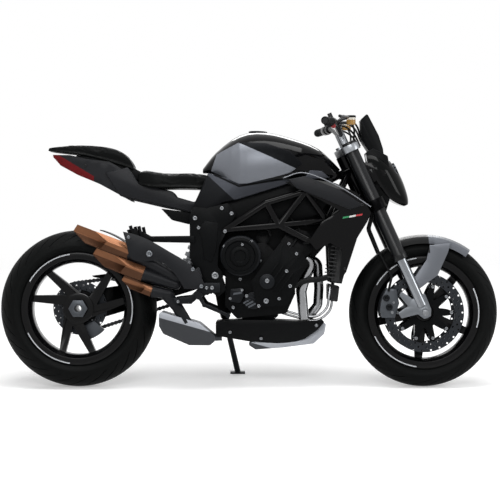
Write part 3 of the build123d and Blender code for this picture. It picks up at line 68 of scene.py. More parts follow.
def toRow(points):
    return rearAt + (np.asarray(points, float) - stance["rearAxle"]) / 1000 @ bikeTurn.T


def toBike(points):
    return (np.asarray(points, float) - rearAt) * 1000 @ bikeTurn + stance["rearAxle"]


def forkToBike(points):
    # Fork frame: x ahead of the leg line, z up along it from the front axle
    p, r = np.asarray(points, float), np.radians(stance["rake"])
    turn = np.array([[np.cos(r), 0, np.sin(r)], [0, 1, 0], [-np.sin(r), 0, np.cos(r)]])
    return stance["frontAxle"] + p @ turn


def linear(hexText):
    v = np.array([int(hexText[i:i + 2], 16) for i in (1, 3, 5)]) / 255
    return (*np.where(v <= 0.04045, v / 12.92, ((v + 0.055) / 1.055) ** 2.4), 1.0)


def addNode(tree, kind, settings=(), links=()):
    node = tree.nodes.new(kind)
    for key, value in dict(settings).items():
        if hasattr(node, str(key)):
            setattr(node, key, value)
        else:
            node.inputs[key].default_value = value
    for key, source in dict(links).items():
        tree.links.new(source, node.inputs[key])
    return node


def sideMask(tree, place, line):
    # 1 on the left of a line drawn on the bike's side from one (x, z) to another, 0 on its right
    (x0, z0), (x1, z1) = line
    blur = 0.0006  # metres, half the width of the paint's edge
    away = addNode(tree, "ShaderNodeVectorMath", {"operation": "SUBTRACT", 1: toRow([(x0, 0, z0)])[0]}, {0: place})
    across = bikeTurn @ unit((z0 - z1, 0, x1 - x0))
    reach = addNode(tree, "ShaderNodeVectorMath", {"operation": "DOT_PRODUCT", 1: across},
                    {0: away.outputs["Vector"]})
    edge = addNode(tree, "ShaderNodeMapRange", {"From Min": -blur, "From Max": blur},
                   {"Value": reach.outputs["Value"]})
    return edge.outputs["Result"]


def makeMaterial(name, look):
    # Grain of a real size drives the bump, a broader mottle varies roughness and colour a little
    material = bpy.data.materials.new(name)
    material.use_nodes = True
    tree = material.node_tree
    tree.nodes.clear()
    place = addNode(tree, "ShaderNodeTexCoord").outputs["Object"]
    pattern = look.get("pattern", "ShaderNodeTexNoise")
    # a wave's bands are 0.314 / scale apart, the other patterns' cells 1 / scale
    grainScale = (314 if pattern == "ShaderNodeTexWave" else 1000) / look.get("grain", 2.0)
    grain = addNode(tree, pattern, {"Scale": grainScale}, {"Vector": place})
    if pattern == "ShaderNodeTexWave":
        grain.bands_direction = "Z"
    mottle = addNode(tree, "ShaderNodeTexNoise", {"Scale": 1000 / look.get("mottle", 60.0), "Detail": 4.0},
                     {"Vector": place})
    spread = look.get("spread", 0.06)
    rough = addNode(tree, "ShaderNodeMapRange",
                    {"To Min": look["rough"] - spread, "To Max": look["rough"] + spread},
                    {"Value": mottle.outputs["Fac"]})
    bump = addNode(tree, "ShaderNodeBump",
                   {"Strength": look.get("bump", 0.1), "Distance": look.get("depth", 0.05) / 1000},
                   {"Height": grain.outputs["Distance" if pattern == "ShaderNodeTexVoronoi" else "Fac"]})
    shade, vary = np.array(linear(look["hex"])), look.get("vary", 0.12)
    darker, lighter = [(*np.clip(shade[:3] * k, 0, 1), 1.0) for k in (1 - vary, 1 + vary)]
    mix = addNode(tree, "ShaderNodeMix", {"data_type": "RGBA"}, {"Factor": mottle.outputs["Fac"]})
    mix.inputs["A"].default_value, mix.inputs["B"].default_value = darker, lighter
    colour = mix.outputs["Result"]
    # a second colour lies where the masks of all its lines meet
    for second in look.get("painted", ()):
        mask = None
        for line in second["lines"]:
            side = sideMask(tree, place, line)
            if mask is not None:
                side = addNode(tree, "ShaderNodeMath", {"operation": "MULTIPLY"}, {0: mask, 1: side}).outputs[0]
            mask = side
        mix = addNode(tree, "ShaderNodeMix", {"data_type": "RGBA"}, {"Factor": mask, "A": colour})
        mix.inputs["B"].default_value = linear(second["hex"])
        colour = mix.outputs["Result"]
    shader = addNode(tree, "ShaderNodeBsdfPrincipled",
                     {"Metallic": look.get("metal", 0.0), "Specular IOR Level": look.get("spec", 0.5)},
                     {"Base Color": colour, "Roughness": rough.outputs["Result"], "Normal": bump.outputs["Normal"]})
    addNode(tree, "ShaderNodeOutputMaterial", (), {"Surface": shader.outputs["BSDF"]})
    return material


# Finishes: grain, mottle and depth in mm, second colours left of lines in (x, z). What each gives the eye stands
# above it
looks = {
    # deep black lacquer: mirror-like only towards its edges
    "glossBlackPaint_sprayed": {"hex": "#050506", "rough": 0.10, "spec": 0.12, "spread": 0.03, "bump": 0.02},
    # silver flake under lacquer: a soft grey that lifts where it faces the light, with a darker facet above
    "silverMetallicPaint_sprayed": {
        "hex": "#6e7177", "rough": 0.40, "metal": 0.5, "spec": 0.06, "grain": 0.4, "bump": 0.05, "vary": 0.04,
        "painted": [{"hex": "#0d0e10", "lines": [((111, 979), (350, 870))]},
                    {"hex": "#141518", "lines": [((-20, 867), (106, 807)), ((106, 816), (-20, 876))]}]},
    # the tank's skirt: mid grey flake, dark below the crease that runs down from the seat
    "greyMetallicPaint_sprayed": {
        "hex": "#34363b", "rough": 0.40, "metal": 0.5, "spec": 0.1, "grain": 0.4, "bump": 0.05, "vary": 0.05,
        "painted": [{"hex": "#0c0d0f", "lines": [((77, 759), (-34, 862))]}]},
    # satin dark grey: broad dull highlights on the tail's facets
    "satinGreyPaint_sprayed": {"hex": "#141518", "rough": 0.40, "spec": 0.14, "bump": 0.05},
    # fine moulding grain: dull black with soft highlights
    "blackPlastic_moulded": {"hex": "#08090a", "rough": 0.42, "spec": 0.06, "grain": 0.8, "bump": 0.25},
    # sand-cast skin under black coating: slightly rough, grey on its edges
    "blackAluminium_cast": {"hex": "#070809", "rough": 0.40, "spec": 0.05, "grain": 1.2, "bump": 0.3},
    # the same skin with a thinner coat: a little metal shows through it
    "darkAluminium_cast": {"hex": "#101215", "rough": 0.38, "metal": 0.3, "spec": 0.14, "grain": 1.2, "bump": 0.3},
    # baked coating on cast wheels: smooth and deep
    "blackWheel_castCoated": {"hex": "#050506", "rough": 0.22, "spec": 0.14, "spread": 0.04, "bump": 0.03},
    # fine-blasted bare alloy: pale, with wide highlights
    "aluminium_satin": {"hex": "#66696d", "rough": 0.36, "metal": 1.0, "grain": 0.6, "bump": 0.08},
    # dyed oxide on machined alloy: mid grey, dull in its highlights
    "caliperAlloy_anodised": {"hex": "#44474b", "rough": 0.40, "metal": 0.9, "grain": 0.8, "bump": 0.1},
    # ground and hard-plated rod: near mirror
    "chrome_hard": {"hex": "#7f8286", "rough": 0.22, "metal": 1.0, "spread": 0.03},
    # zinc-plated fasteners: small pale glints
    "steel_plated": {"hex": "#77797c", "rough": 0.36, "metal": 1.0, "grain": 0.8, "bump": 0.08},
    # oil film on bare steel: dark, with a broken sheen
    "darkSteel_oiled": {"hex": "#2c2d2f", "rough": 0.42, "metal": 0.9, "grain": 0.8, "bump": 0.1},
    # ground on a wheel: grey with a faint sheen
    "discSteel_ground": {"hex": "#2c2e31", "rough": 0.34, "metal": 1.0, "grain": 0.5, "bump": 0.06},
    # polished pipe: bright, uneven where heat has worked on it
    "headerSteel_polished": {"hex": "#8e8f91", "rough": 0.22, "metal": 1.0, "spread": 0.06, "vary": 0.2},
    # heat-proof grey coat: dry and pale, with a painted shade that darkens the lower facet
    "exhaustSteel_greyCoated": {
        "hex": "#989ba1", "rough": 0.46, "metal": 0.4, "grain": 0.8, "bump": 0.12,
        "painted": [{"hex": "#2b2d31", "lines": [((3, 222), (-221, 285))]}]},
    # ceramic bronze coat: brown metal with a dry sheen, each tip's lower half darkened by a painted shade
    "exhaustSteel_bronzeCoated": {
        "hex": "#7a5239", "rough": 0.34, "metal": 0.6, "spec": 0.2, "grain": 0.8, "bump": 0.08, "vary": 0.08,
        "painted": [{"hex": "#4a3020", "lines": [((-345, 540), (-555, 627)), ((-475, 565), (-280, 490))]},
                    {"hex": "#4a3020", "lines": [((-280, 460), (-480, 538)), ((-365, 447), (-247, 403))]},
                    {"hex": "#4a3020", "lines": [((-250, 387), (-367, 430))]}]},
    # vulcanised tread rubber: dusty black
    "tyreRubber_moulded": {"hex": "#080909", "rough": 0.55, "spec": 0.06, "grain": 0.7, "bump": 0.25},
    # hoses and grips: black, a little shinier than the tyres
    "blackRubber_moulded": {"hex": "#0b0c0d", "rough": 0.55, "spec": 0.12, "grain": 0.7, "bump": 0.25},
    # embossed vinyl, its cells drawn at 3 mm so that they show
    "seatVinyl_sewn": {"hex": "#070808", "rough": 0.46, "spec": 0.06, "pattern": "ShaderNodeTexVoronoi", "grain": 3.0,
                       "bump": 0.4, "depth": 0.3},
    # twisted thread of the piping: fibrous grey with no gloss
    "seatThread_spun": {"hex": "#2a2b2d", "rough": 0.8, "spec": 0.2, "grain": 0.5, "bump": 0.4},
    # black fins: their 2 mm pitch is drawn at 4 mm so that the ribs show
    "radiatorAluminium_finned": {"hex": "#101112", "rough": 0.42, "spec": 0.25, "pattern": "ShaderNodeTexWave",
                                 "grain": 4.0, "bump": 1.0, "depth": 1.2},
    # tinted lens over a dark bowl: black with crisp highlights
    "lampPolycarbonate_smoked": {"hex": "#050606", "rough": 0.08, "spec": 0.08, "spread": 0.02},
    # vapour-coated reflector, dimmed by the lens over it
    "lampReflector_metallised": {"hex": "#2b2d30", "rough": 0.15, "metal": 1.0},
    # frosted light guide, unlit: plain grey
    "lampBar_diffusing": {"hex": "#3a3d41", "rough": 0.35},
    # dyed acrylic: deep red with a gloss
    "lampPlastic_red": {"hex": "#8e1218", "rough": 0.18, "spread": 0.03, "spec": 0.4},
    # black oxide on drawn tube: satin with long highlights
    "barAluminium_blackAnodised": {"hex": "#0c0d0f", "rough": 0.30, "spec": 0.24},
    # milky cup: amber where the fluid stands, pale above it
    "reservoirPlastic_translucent": {"hex": "#94703a", "rough": 0.25, "spec": 0.3,
                                     "painted": [{"hex": "#c9c4b8", "lines": [((500, 1073), (600, 1073))]}]},
    # silver wedge of the front mudguard, with its rear top band black
    "mudguardPaint_twoTone": {
        "hex": "#5e6167", "rough": 0.38, "metal": 0.5, "grain": 0.4, "bump": 0.05, "vary": 0.04,
        "painted": [{"hex": "#08090a", "lines": [((871, 535), (863, 616)), ((730, 547), (875, 543))]}]},
    # bare top yoke, black lower yoke
    "yokeAlloy_satin": {"hex": "#8f9296", "rough": 0.34, "metal": 1.0, "grain": 0.6, "bump": 0.08,
                        "painted": [{"hex": "#0a0a0b", "lines": [((681.5, 908), (499.5, 825))]}]},
    # satin grey tail with the lamp's red edge along its lower rear side
    "tailPaint_satin": {
        "hex": "#141518", "rough": 0.40, "spec": 0.14, "bump": 0.05,
        "painted": [{"hex": "#5c0a0e", "lines": [((-473, 845), (-638, 944)), ((-485, 800), (-485, 980))]}]},
    # thin bright lines along the fairing's edges: a painted highlight
    "silverStripPaint_sprayed": {"hex": "#77797e", "rough": 0.36, "metal": 0.5, "grain": 0.4, "bump": 0.05},
    # flat, clean colours under lacquer; the first is a painted highlight for the rims' edges, the other three make
    # the tricolour mark
    "pinstripePaint_white": {"hex": "#b9bcc0", "rough": 0.3},
    "stripePaint_green": {"hex": "#1d7a4a", "rough": 0.3},
    "stripePaint_white": {"hex": "#d6d6d4", "rough": 0.3},
    "stripePaint_red": {"hex": "#a8232a", "rough": 0.3},
    # switched-off display: black glass
    "screenGlass_dark": {"hex": "#08090b", "rough": 0.08, "spread": 0.02},
}
materials = {name: makeMaterial(name, look) for name, look in looks.items()}
print("materials made")

# CAD nodes that are shown as they are, under their material, each with the rounding of its edges
cadLooks = {
    "glossBlackPaint_sprayed": {"trellis_frame": 0.0, "fuel_tank": 0.0, "side_fairings": 1.5,
        "headlight_shell": 1.0},
    "blackAluminium_cast": {"frame_plates": 1.5, "engine_block": 2.5, "swingarm": 3.0, "passenger_footrests": 1.0},
    "satinGreyPaint_sprayed": {"subframe": 1.5, "silencer_shroud": 2.0},
    "darkAluminium_cast": {"engine_covers": 2.0, "rider_footrests": 1.0, "foot_controls": 0.0, "side_stand": 1.0},
    "blackPlastic_moulded": {"airbox": 2.0, "belly_pan": 2.0, "chain_guard": 0.8, "rear_hugger": 0.8,
        "instrument_cowl": 3.0},
    "radiatorAluminium_finned": {"radiator": 1.0, "oil_cooler": 2.0},
    "headerSteel_polished": {"exhaust_headers": 0.0},
    "exhaustSteel_greyCoated": {"exhaust_collector": 3.0, "silencer_box": 2.0},
    "exhaustSteel_bronzeCoated": {"exhaust_tips": 2.0},
    "silverMetallicPaint_sprayed": {"tank_side_panels": 1.5},
    "tailPaint_satin": {"tail_fairing": 2.0},
    "lampPlastic_red": {"tail_light": 1.5},
    "steel_plated": {"rear_shock": 0.0, "front_axle": 0.8},
    "darkSteel_oiled": {"chain": 0.0, "rear_sprocket": 0.5},
    "caliperAlloy_anodised": {"rear_caliper": 1.5, "front_calipers": 3.0, "rear_axle": 1.0},
    "yokeAlloy_satin": {"fork_yokes": 1.5},
    "barAluminium_blackAnodised": {"fork_outer_tubes": 1.0, "handlebar": 0.0, "controls": 0.8},
    "chrome_hard": {"fork_stanchions": 0.0},
    "aluminium_satin": {"fork_feet": 2.0},
    "mudguardPaint_twoTone": {"front_mudguard": 0.8},
    "lampPolycarbonate_smoked": {"headlight_lens": 0.0},
    "blackRubber_moulded": {"brake_hoses": 0.0},
    "blackWheel_castCoated": {"front_rim": 2.0, "rear_rim": 2.0},
}
edges = {"bevelAngle": 32, "splitAngle": 34}  # degrees: sharper folds are rounded, and shaded apart


def addSplit(piece, angle=edges["splitAngle"]):
    split = piece.modifiers.new("splitEdges", "EDGE_SPLIT")
    split.split_angle = np.radians(angle)
    split.use_edge_sharp = False


def addBevel(piece, width, segments):
    bevel = piece.modifiers.new("roundedEdges", "BEVEL")
    bevel.width, bevel.segments = width / 1000, segments
    bevel.limit_method, bevel.angle_limit = "ANGLE", np.radians(edges["bevelAngle"])


def addWall(piece, thick):
    wall = piece.modifiers.new("wall", "SOLIDIFY")
    wall.thickness, wall.offset = thick / 1000, 0.0


for look, group in cadLooks.items():
    for name, rounding in group.items():
        node = nodes[name]
        node.data.materials.clear()
        node.data.materials.append(materials[look])
        node.data.polygons.foreach_set("use_smooth", np.ones(len(node.data.polygons), bool))
        node.modifiers.new("weld", "WELD").merge_threshold = mergeWithin
        if rounding:
            addBevel(node, rounding, 2)
        addSplit(node)
print("CAD pieces finished")


def addPiece(name, points, faces, look, body, slotName, replaced=(), smooth=True):
    # Points in the bike's frame become a mesh in the row's frame, faces outward, that rides on a body
    mesh = bpy.data.meshes.new(name)
    mesh.from_pydata(toRow(points).tolist(), [], [list(f) for f in faces])
    bm = bmesh.new()
    bm.from_mesh(mesh)
    bmesh.ops.remove_doubles(bm, verts=bm.verts, dist=mergeWithin)
    bmesh.ops.recalc_face_normals(bm, faces=bm.faces)
    bm.to_mesh(mesh)
    bm.free()
    mesh.polygons.foreach_set("use_smooth", np.full(len(mesh.polygons), smooth))
    mesh.materials.append(materials[look])
    piece = bpy.data.objects.new(name, mesh)
    scene.collection.objects.link(piece)
    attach(piece, body)
    if replaced:
        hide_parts(*replaced)
    return piece


def gridFaces(rows, columns, closeRows=False, closeColumns=False):
    # Quads between neighbours of a grid whose points are numbered row by row
    i = np.arange(rows if closeRows else rows - 1)[:, None]
    j = np.arange(columns if closeColumns else columns - 1)[None, :]
    i2, j2 = (i + 1) % rows, (j + 1) % columns
    corners = [i * columns + j, i2 * columns + j, i2 * columns + j2, i * columns + j2]
    return np.stack(corners, axis=-1).reshape(-1, 4)


def joinShapes(shapes):
    points, faces, count = [], [], 0
    for p, f in shapes:
        points.append(p)
        faces += [[k + count for k in face] for face in f]
        count += len(p)
    return np.concatenate(points), faces


def around(centre, radius, angle, side):
    # Wheel coordinates: radius and angle about the axle, side along it
    x, z = centre[0] + radius * np.cos(angle), centre[2] + radius * np.sin(angle)
    return np.stack([x, centre[1] + side + 0 * radius, z], axis=-1)


def arcBand(centre, radii, sides, arc, steps):
    # A rectangle of radii by sides carried along an arc about the axle, with its ends closed
    angle = np.radians(np.linspace(arc[0], arc[1], steps))[:, None]
    radius = np.array([radii[0], radii[1], radii[1], radii[0]])[None, :]
    side = np.array([sides[0], sides[0], sides[1], sides[1]])[None, :] + 0 * angle
    points = around(centre, radius + 0 * angle, angle + 0 * radius, side).reshape(-1, 3)
    ends = [[0, 1, 2, 3], [4 * steps - 1, 4 * steps - 2, 4 * steps - 3, 4 * steps - 4]]
    return points, gridFaces(steps, 4, False, True).tolist() + ends


def lathe(profile, sides=48):
    # A profile of (radius, height) turned about its height axis, in its own frame
    p = np.asarray(profile, float)
    a = np.arange(sides)[:, None] * 2 * np.pi / sides
    points = np.stack([p[:, 0] * np.cos(a), p[:, 0] * np.sin(a), p[:, 1] + 0 * a], axis=-1)
    return points.reshape(-1, 3), gridFaces(sides, len(p), True, False)


def placeShapes(shape, faces, places, ways, scales):
    # Copies of one shape, its height axis turned to each way, in one list of points and faces
    ways = ways / np.linalg.norm(ways, axis=1, keepdims=True)
    helper = np.where(np.abs(ways[:, :1]) > 0.9, (0, 0, 1.0), (1.0, 0, 0))  # an axis well away from each way
    first = np.cross(helper, ways)
    first = first / np.linalg.norm(first, axis=1, keepdims=True)
    turn = np.stack([first, np.cross(ways, first), ways], axis=1)
    points = places[:, None, :] + np.einsum("kj,njd->nkd", shape, turn) * scales[:, None, None]
    moved = faces[None, :, :] + (np.arange(len(places)) * len(shape))[:, None, None]
    return points.reshape(-1, 3), moved.reshape(-1, faces.shape[1])


def addTurned(name, profile, at, way, look, body, slotName, replaced=()):
    # A turned profile set at a place, its height axis along a way
    shapes = placeShapes(*lathe(profile), np.array([at], float), np.array([way], float), np.ones(1))
    addSplit(addPiece(name, *shapes, look, body, slotName, replaced))


def tube(path, radius, sides=12, steps=8):
    # A ring carried along a Catmull-Rom curve through the points, its ends closed with caps
    p = np.asarray(path, float)
    p = np.concatenate([[2 * p[0] - p[1]], p, [2 * p[-1] - p[-2]]])
    t = np.linspace(0, 1, steps, endpoint=False)[:, None]
    curve = [0.5 * (2 * b + (c - a) * t + (2 * a - 5 * b + 4 * c - d) * t ** 2 + (3 * b - a - 3 * c + d) * t ** 3)
             for a, b, c, d in zip(p[:-3], p[1:-2], p[2:-1], p[3:])]
    curve = np.concatenate(curve + [p[-2:-1]])
    way = np.gradient(curve, axis=0)
    way /= np.linalg.norm(way, axis=1, keepdims=True)
    first = np.cross(way, (0.13, 0.97, 0.21))  # any direction that no path runs along
    first /= np.linalg.norm(first, axis=1, keepdims=True)
    a = np.arange(sides) * 2 * np.pi / sides
    ring = first[:, None, :] * np.cos(a)[:, None] + np.cross(way, first)[:, None, :] * np.sin(a)[:, None]
    points = (curve[:, None, :] + radius * ring).reshape(-1, 3)
    n = len(points)
    caps = [list(range(sides)), list(range(n - 1, n - 1 - sides, -1))]
    return points, gridFaces(len(curve), sides, False, True).tolist() + caps


def slabShape(outline, sides):
    # An outline in (x, z) carried from one y to another, with both faces closed
    o, n = np.asarray(outline, float), len(outline)
    points = np.concatenate([np.stack([o[:, 0], np.full(n, side), o[:, 1]], axis=1) for side in sides])
    return points, gridFaces(2, n, False, True).tolist() + [list(range(n)), list(range(2 * n - 1, n - 1, -1))]


def meshPoints(mesh):
    values = np.empty(len(mesh.vertices) * 3)
    mesh.vertices.foreach_get("co", values)
    return values.reshape(-1, 3)


def treeOf(points, mesh):
    return BVHTree.FromPolygons(points.tolist(), [tuple(p.vertices) for p in mesh.polygons])


trees = {}


def nodeTree(name):
    if name not in trees:
        trees[name] = treeOf(meshPoints(nodes[name].data), nodes[name].data)
    return trees[name]


def surfaceAt(names, x, z, side):
    # First hit of a line along the bike's width, from one side: place and outward normal in the bike's frame
    best, outside = None, 600  # mm from the middle: beyond the bike's width
    start, way = Vector(toRow([(x, side * outside, z)])[0]), Vector(bikeTurn @ (0, -side, 0))
    for name in names:
        hit, normal, index, far = nodeTree(name).ray_cast(start, way)
        if hit is not None and (best is None or far < best[2]):
            best = (toBike([hit])[0], bikeTurn.T @ np.array(normal), far)
    return best


# Tyres: the tread is an arc across the wheel, the walls are curves down to the rim.
# Each groove follows a slanted grid column, cut in by depth times a window along it
tyres = {
    "frontTyre": {"centre": stance["frontAxle"], "radius": 301.3, "width": 120.0, "seat": 44.7, "repeats": 30,
                  "node": "front_tyre", "body": "front_wheel"},
    "rearTyre": {"centre": stance["rearAxle"], "radius": 317.2, "width": 180.0, "seat": 70.7, "repeats": 28,
                 "node": "rear_tyre", "body": "rear_wheel"},
}
# grooves begin and end at shares of the half width; ticks are shares of a repeat, with 1 where a groove is cut
tread = {"drop": 0.34, "depth": 4.0, "slant": 0.55, "bead": 227.3, "inner": 215.0, "bulge": 3.0,
         "longGroove": (0.12, 0.88), "shortGroove": (0.3, 0.7), "runOut": 0.1, "splitAngle": 50,
         "acrossSteps": 49, "wallSteps": 9, "wallCurve": 1.7, "slantCurve": 1.4, "leftHalf": (0.3, 0.7),
         "ticks": (0.0, 0.03, 0.055, 0.2, 0.32, 0.445, 0.47, 0.5, 0.53, 0.555, 0.7, 0.82, 0.945, 0.97),
         "cut": (1.0, 1, 0, 0, 0, 0, 1, 1, 1, 0, 0, 0, 0, 1)}


def makeTyre(name, tyre):
    half, drop = tyre["width"] / 2, tread["drop"] * tyre["width"]
    arc = (half ** 2 + drop ** 2) / (2 * drop)
    s = np.linspace(-1, 1, tread["acrossSteps"])
    lean = s * np.arcsin(half / arc)
    crownR, crownY = tyre["radius"] - arc + arc * np.cos(lean), arc * np.sin(lean)
    t = np.linspace(0, 1, tread["wallSteps"])[1:]
    wallR = crownR[-1] + (tread["bead"] - crownR[-1]) * t
    wallY = half + (tyre["seat"] - half) * t ** tread["wallCurve"] + tread["bulge"] * np.sin(np.pi * t) * (1 - t)
    r = np.concatenate([[tread["inner"]], wallR[::-1], crownR, wallR, [tread["inner"]]])
    y = np.concatenate([[-tyre["seat"]], -wallY[::-1], crownY, wallY, [tyre["seat"]]])
    across = np.concatenate([np.full(len(t) + 1, -1.0), s, np.full(len(t) + 1, 1.0)])
    off = np.abs(across)
    # two grooves to a repeat, one for each half of the tread, set half a repeat apart
    ticks, cut, repeats = np.array(tread["ticks"]), np.array(tread["cut"]), tyre["repeats"]
    leftCut = np.where((ticks > tread["leftHalf"][0]) & (ticks < tread["leftHalf"][1]), cut, 0)
    leftCut, rightCut = [np.tile(c, repeats)[:, None] for c in (leftCut, cut - leftCut)]
    u = (np.arange(repeats)[:, None] + ticks).ravel() * 2 * np.pi / repeats
    longer = np.repeat(np.arange(repeats) % 2, len(ticks))
    begin, end = [np.where(longer, a, b)[:, None] for a, b in zip(tread["longGroove"], tread["shortGroove"])]
    window = np.clip((off - begin) / tread["runOut"], 0, 1) * np.clip((end - off) / tread["runOut"], 0, 1)
    groove = tread["depth"] * np.where(across > 0, leftCut, rightCut) * window
    angle = u[:, None] + tread["slant"] * off ** tread["slantCurve"]
    tilt = np.interp(across, s, lean)
    points = around(tyre["centre"], r - groove * np.cos(tilt), angle, y - groove * np.sin(tilt))
    piece = addPiece(name, points.reshape(-1, 3), gridFaces(*points.shape[:2], True, True), "tyreRubber_moulded",
                     tyre["body"], "tyre_rubber", (tyre["node"],))
    addSplit(piece, tread["splitAngle"])


for name, tyre in tyres.items():
    makeTyre(name, tyre)
print("tyres made")

# Wheel trim: pale arcs on the rims' edges that are a painted highlight, as bands of a small rectangle carried along
# an arc
rimHighlightArcs = {"radii": (219.4, 223.6), "thick": 0.5, "arcs": ((98, 150), (206, 262), (-16, 26)), "steps": 40,
             "rims": {"front": (stance["frontAxle"], 52.0, "front_wheel"),
                      "rear": (stance["rearAxle"], 78.0, "rear_wheel")}}
for rim, (centre, half, body) in rimHighlightArcs["rims"].items():
    bands = [arcBand(centre, rimHighlightArcs["radii"], (side * half, side * (half + rimHighlightArcs["thick"])), arc,
                     rimHighlightArcs["steps"]) for side in (-1, 1) for arc in rimHighlightArcs["arcs"]]
    addPiece(rim + "RimHighlightBands", *joinShapes(bands), "pinstripePaint_white", body, "silver_paint", smooth=False)
print("rims lined")

# Brake discs: polar tiles, each with 16 border points and, where it is drilled, a round hole
discs = {
    "frontDiscRight": {"centre": stance["frontAxle"], "side": -66.5, "inner": 122.0, "outer": 160.0, "rows": 3,
                       "columns": 54, "hole": 4.0, "hub": 37.0, "waist": 62.0, "arms": 10, "bobbinAt": 109.0,
                       "bobbin": 6.8, "body": "front_wheel", "replaces": ("front_discs",)},
    "rearDisc": {"centre": stance["rearAxle"], "side": 44.5, "inner": 74.0, "outer": 110.0, "rows": 3,
                 "columns": 40, "hole": 3.8, "hub": 33.0, "waist": 52.0, "arms": 8, "bobbinAt": 70.0,
                 "bobbin": 4.08, "body": "rear_wheel", "replaces": ("rear_disc",)},
}
discs["frontDiscLeft"] = {**discs["frontDiscRight"], "side": 66.5, "replaces": ()}
discWall = {"thick": 5.0, "carrierThick": 4.6}
# A fixing's head in radii: flat seat, chamfered rim and a socket
boltProfile = [(0.0, -0.3), (1.0, -0.3), (1.0, 0.55), (0.86, 0.72), (0.5, 0.72), (0.44, 0.3), (0.0, 0.3)]
bolt = lathe(boltProfile, 12)


def drilledRing(disc):
    # Each tile's border is a square in (radius, angle), its hole a circle in mm; every second tile is drilled
    k = np.arange(16) * np.pi / 8
    way = np.stack([np.cos(k), np.sin(k)])
    border = way / np.abs(way).max(axis=0)
    rows, columns = disc["rows"], disc["columns"]
    deep, turn = (disc["outer"] - disc["inner"]) / rows, 2 * np.pi / columns
    mid = (disc["inner"] + (np.arange(rows) + 0.5) * deep)[:, None, None]
    at = (np.arange(columns) * turn)[None, :, None]
    edgeR, edgeA = mid + border[0] * deep / 2 + 0 * at, at + border[1] * turn / 2 + 0 * mid
    holeR, holeA = mid + disc["hole"] * way[0] + 0 * at, at + disc["hole"] * way[1] / mid
    edge, rim = [around(disc["centre"], radius, angle, disc["side"]).reshape(-1, 3)
                 for radius, angle in ((edgeR, edgeA), (holeR, holeA))]
    drilled = ((np.arange(rows)[:, None] + np.arange(columns)) % 2 == 0).ravel()
    number = np.arange(len(edge)).reshape(-1, 16)
    following = np.roll(number, -1, axis=1)
    quads = np.stack([number, following, following + len(edge), number + len(edge)], axis=-1)[drilled]
    faces = quads.reshape(-1, 4).tolist() + number[~drilled].tolist()
    points = np.concatenate([edge, rim])
    used = np.zeros(len(points), bool)
    used[np.concatenate([np.ravel(f) for f in faces])] = True
    renumber = np.cumsum(used) - 1
    return points[used], [[int(renumber[v]) for v in f] for f in faces]


def starCarrier(disc):
    # Radius runs from the hub to waist + (tip - waist) * pulse(angle), a rounded pulse at each arm
    steps, rings, overlap, sharpness = 240, 6, 2, 1.5
    angle = np.linspace(0, 2 * np.pi, steps, endpoint=False)[:, None]
    pulse = (0.5 + 0.5 * np.cos(disc["arms"] * angle)) ** sharpness
    tip = disc["waist"] + (disc["inner"] + overlap - disc["waist"]) * pulse
    radius = disc["hub"] + (tip - disc["hub"]) * np.linspace(0, 1, rings)[None, :]
    points = around(disc["centre"], radius, angle + 0 * radius, disc["side"])
    return points.reshape(-1, 3), gridFaces(steps, rings, True, False)


for name, disc in discs.items():
    rotor = addPiece(name, *drilledRing(disc), "discSteel_ground", disc["body"], "disc_steel", disc["replaces"],
                     smooth=False)
    addWall(rotor, discWall["thick"])
    carrier = addPiece(name + "Carrier", *starCarrier(disc), "blackAluminium_cast", disc["body"], "cast_black",
                       smooth=False)
    addWall(carrier, discWall["carrierThick"])
    angle = np.arange(disc["arms"]) * 2 * np.pi / disc["arms"]
    for face in (-1, 1):
        at = around(disc["centre"], disc["bobbinAt"] + 0 * angle, angle, disc["side"] + face * discWall["thick"] / 2)
        ways = np.tile((0.0, face, 0.0), (len(angle), 1))
        bobbins = placeShapes(*bolt, at, ways, np.full(len(angle), disc["bobbin"]))
        where = "Inner" if face * disc["side"] < 0 else "Outer"
        addPiece(f"{name}Bobbins{where}", *bobbins, "steel_plated", disc["body"], "steel")
print("discs drilled")

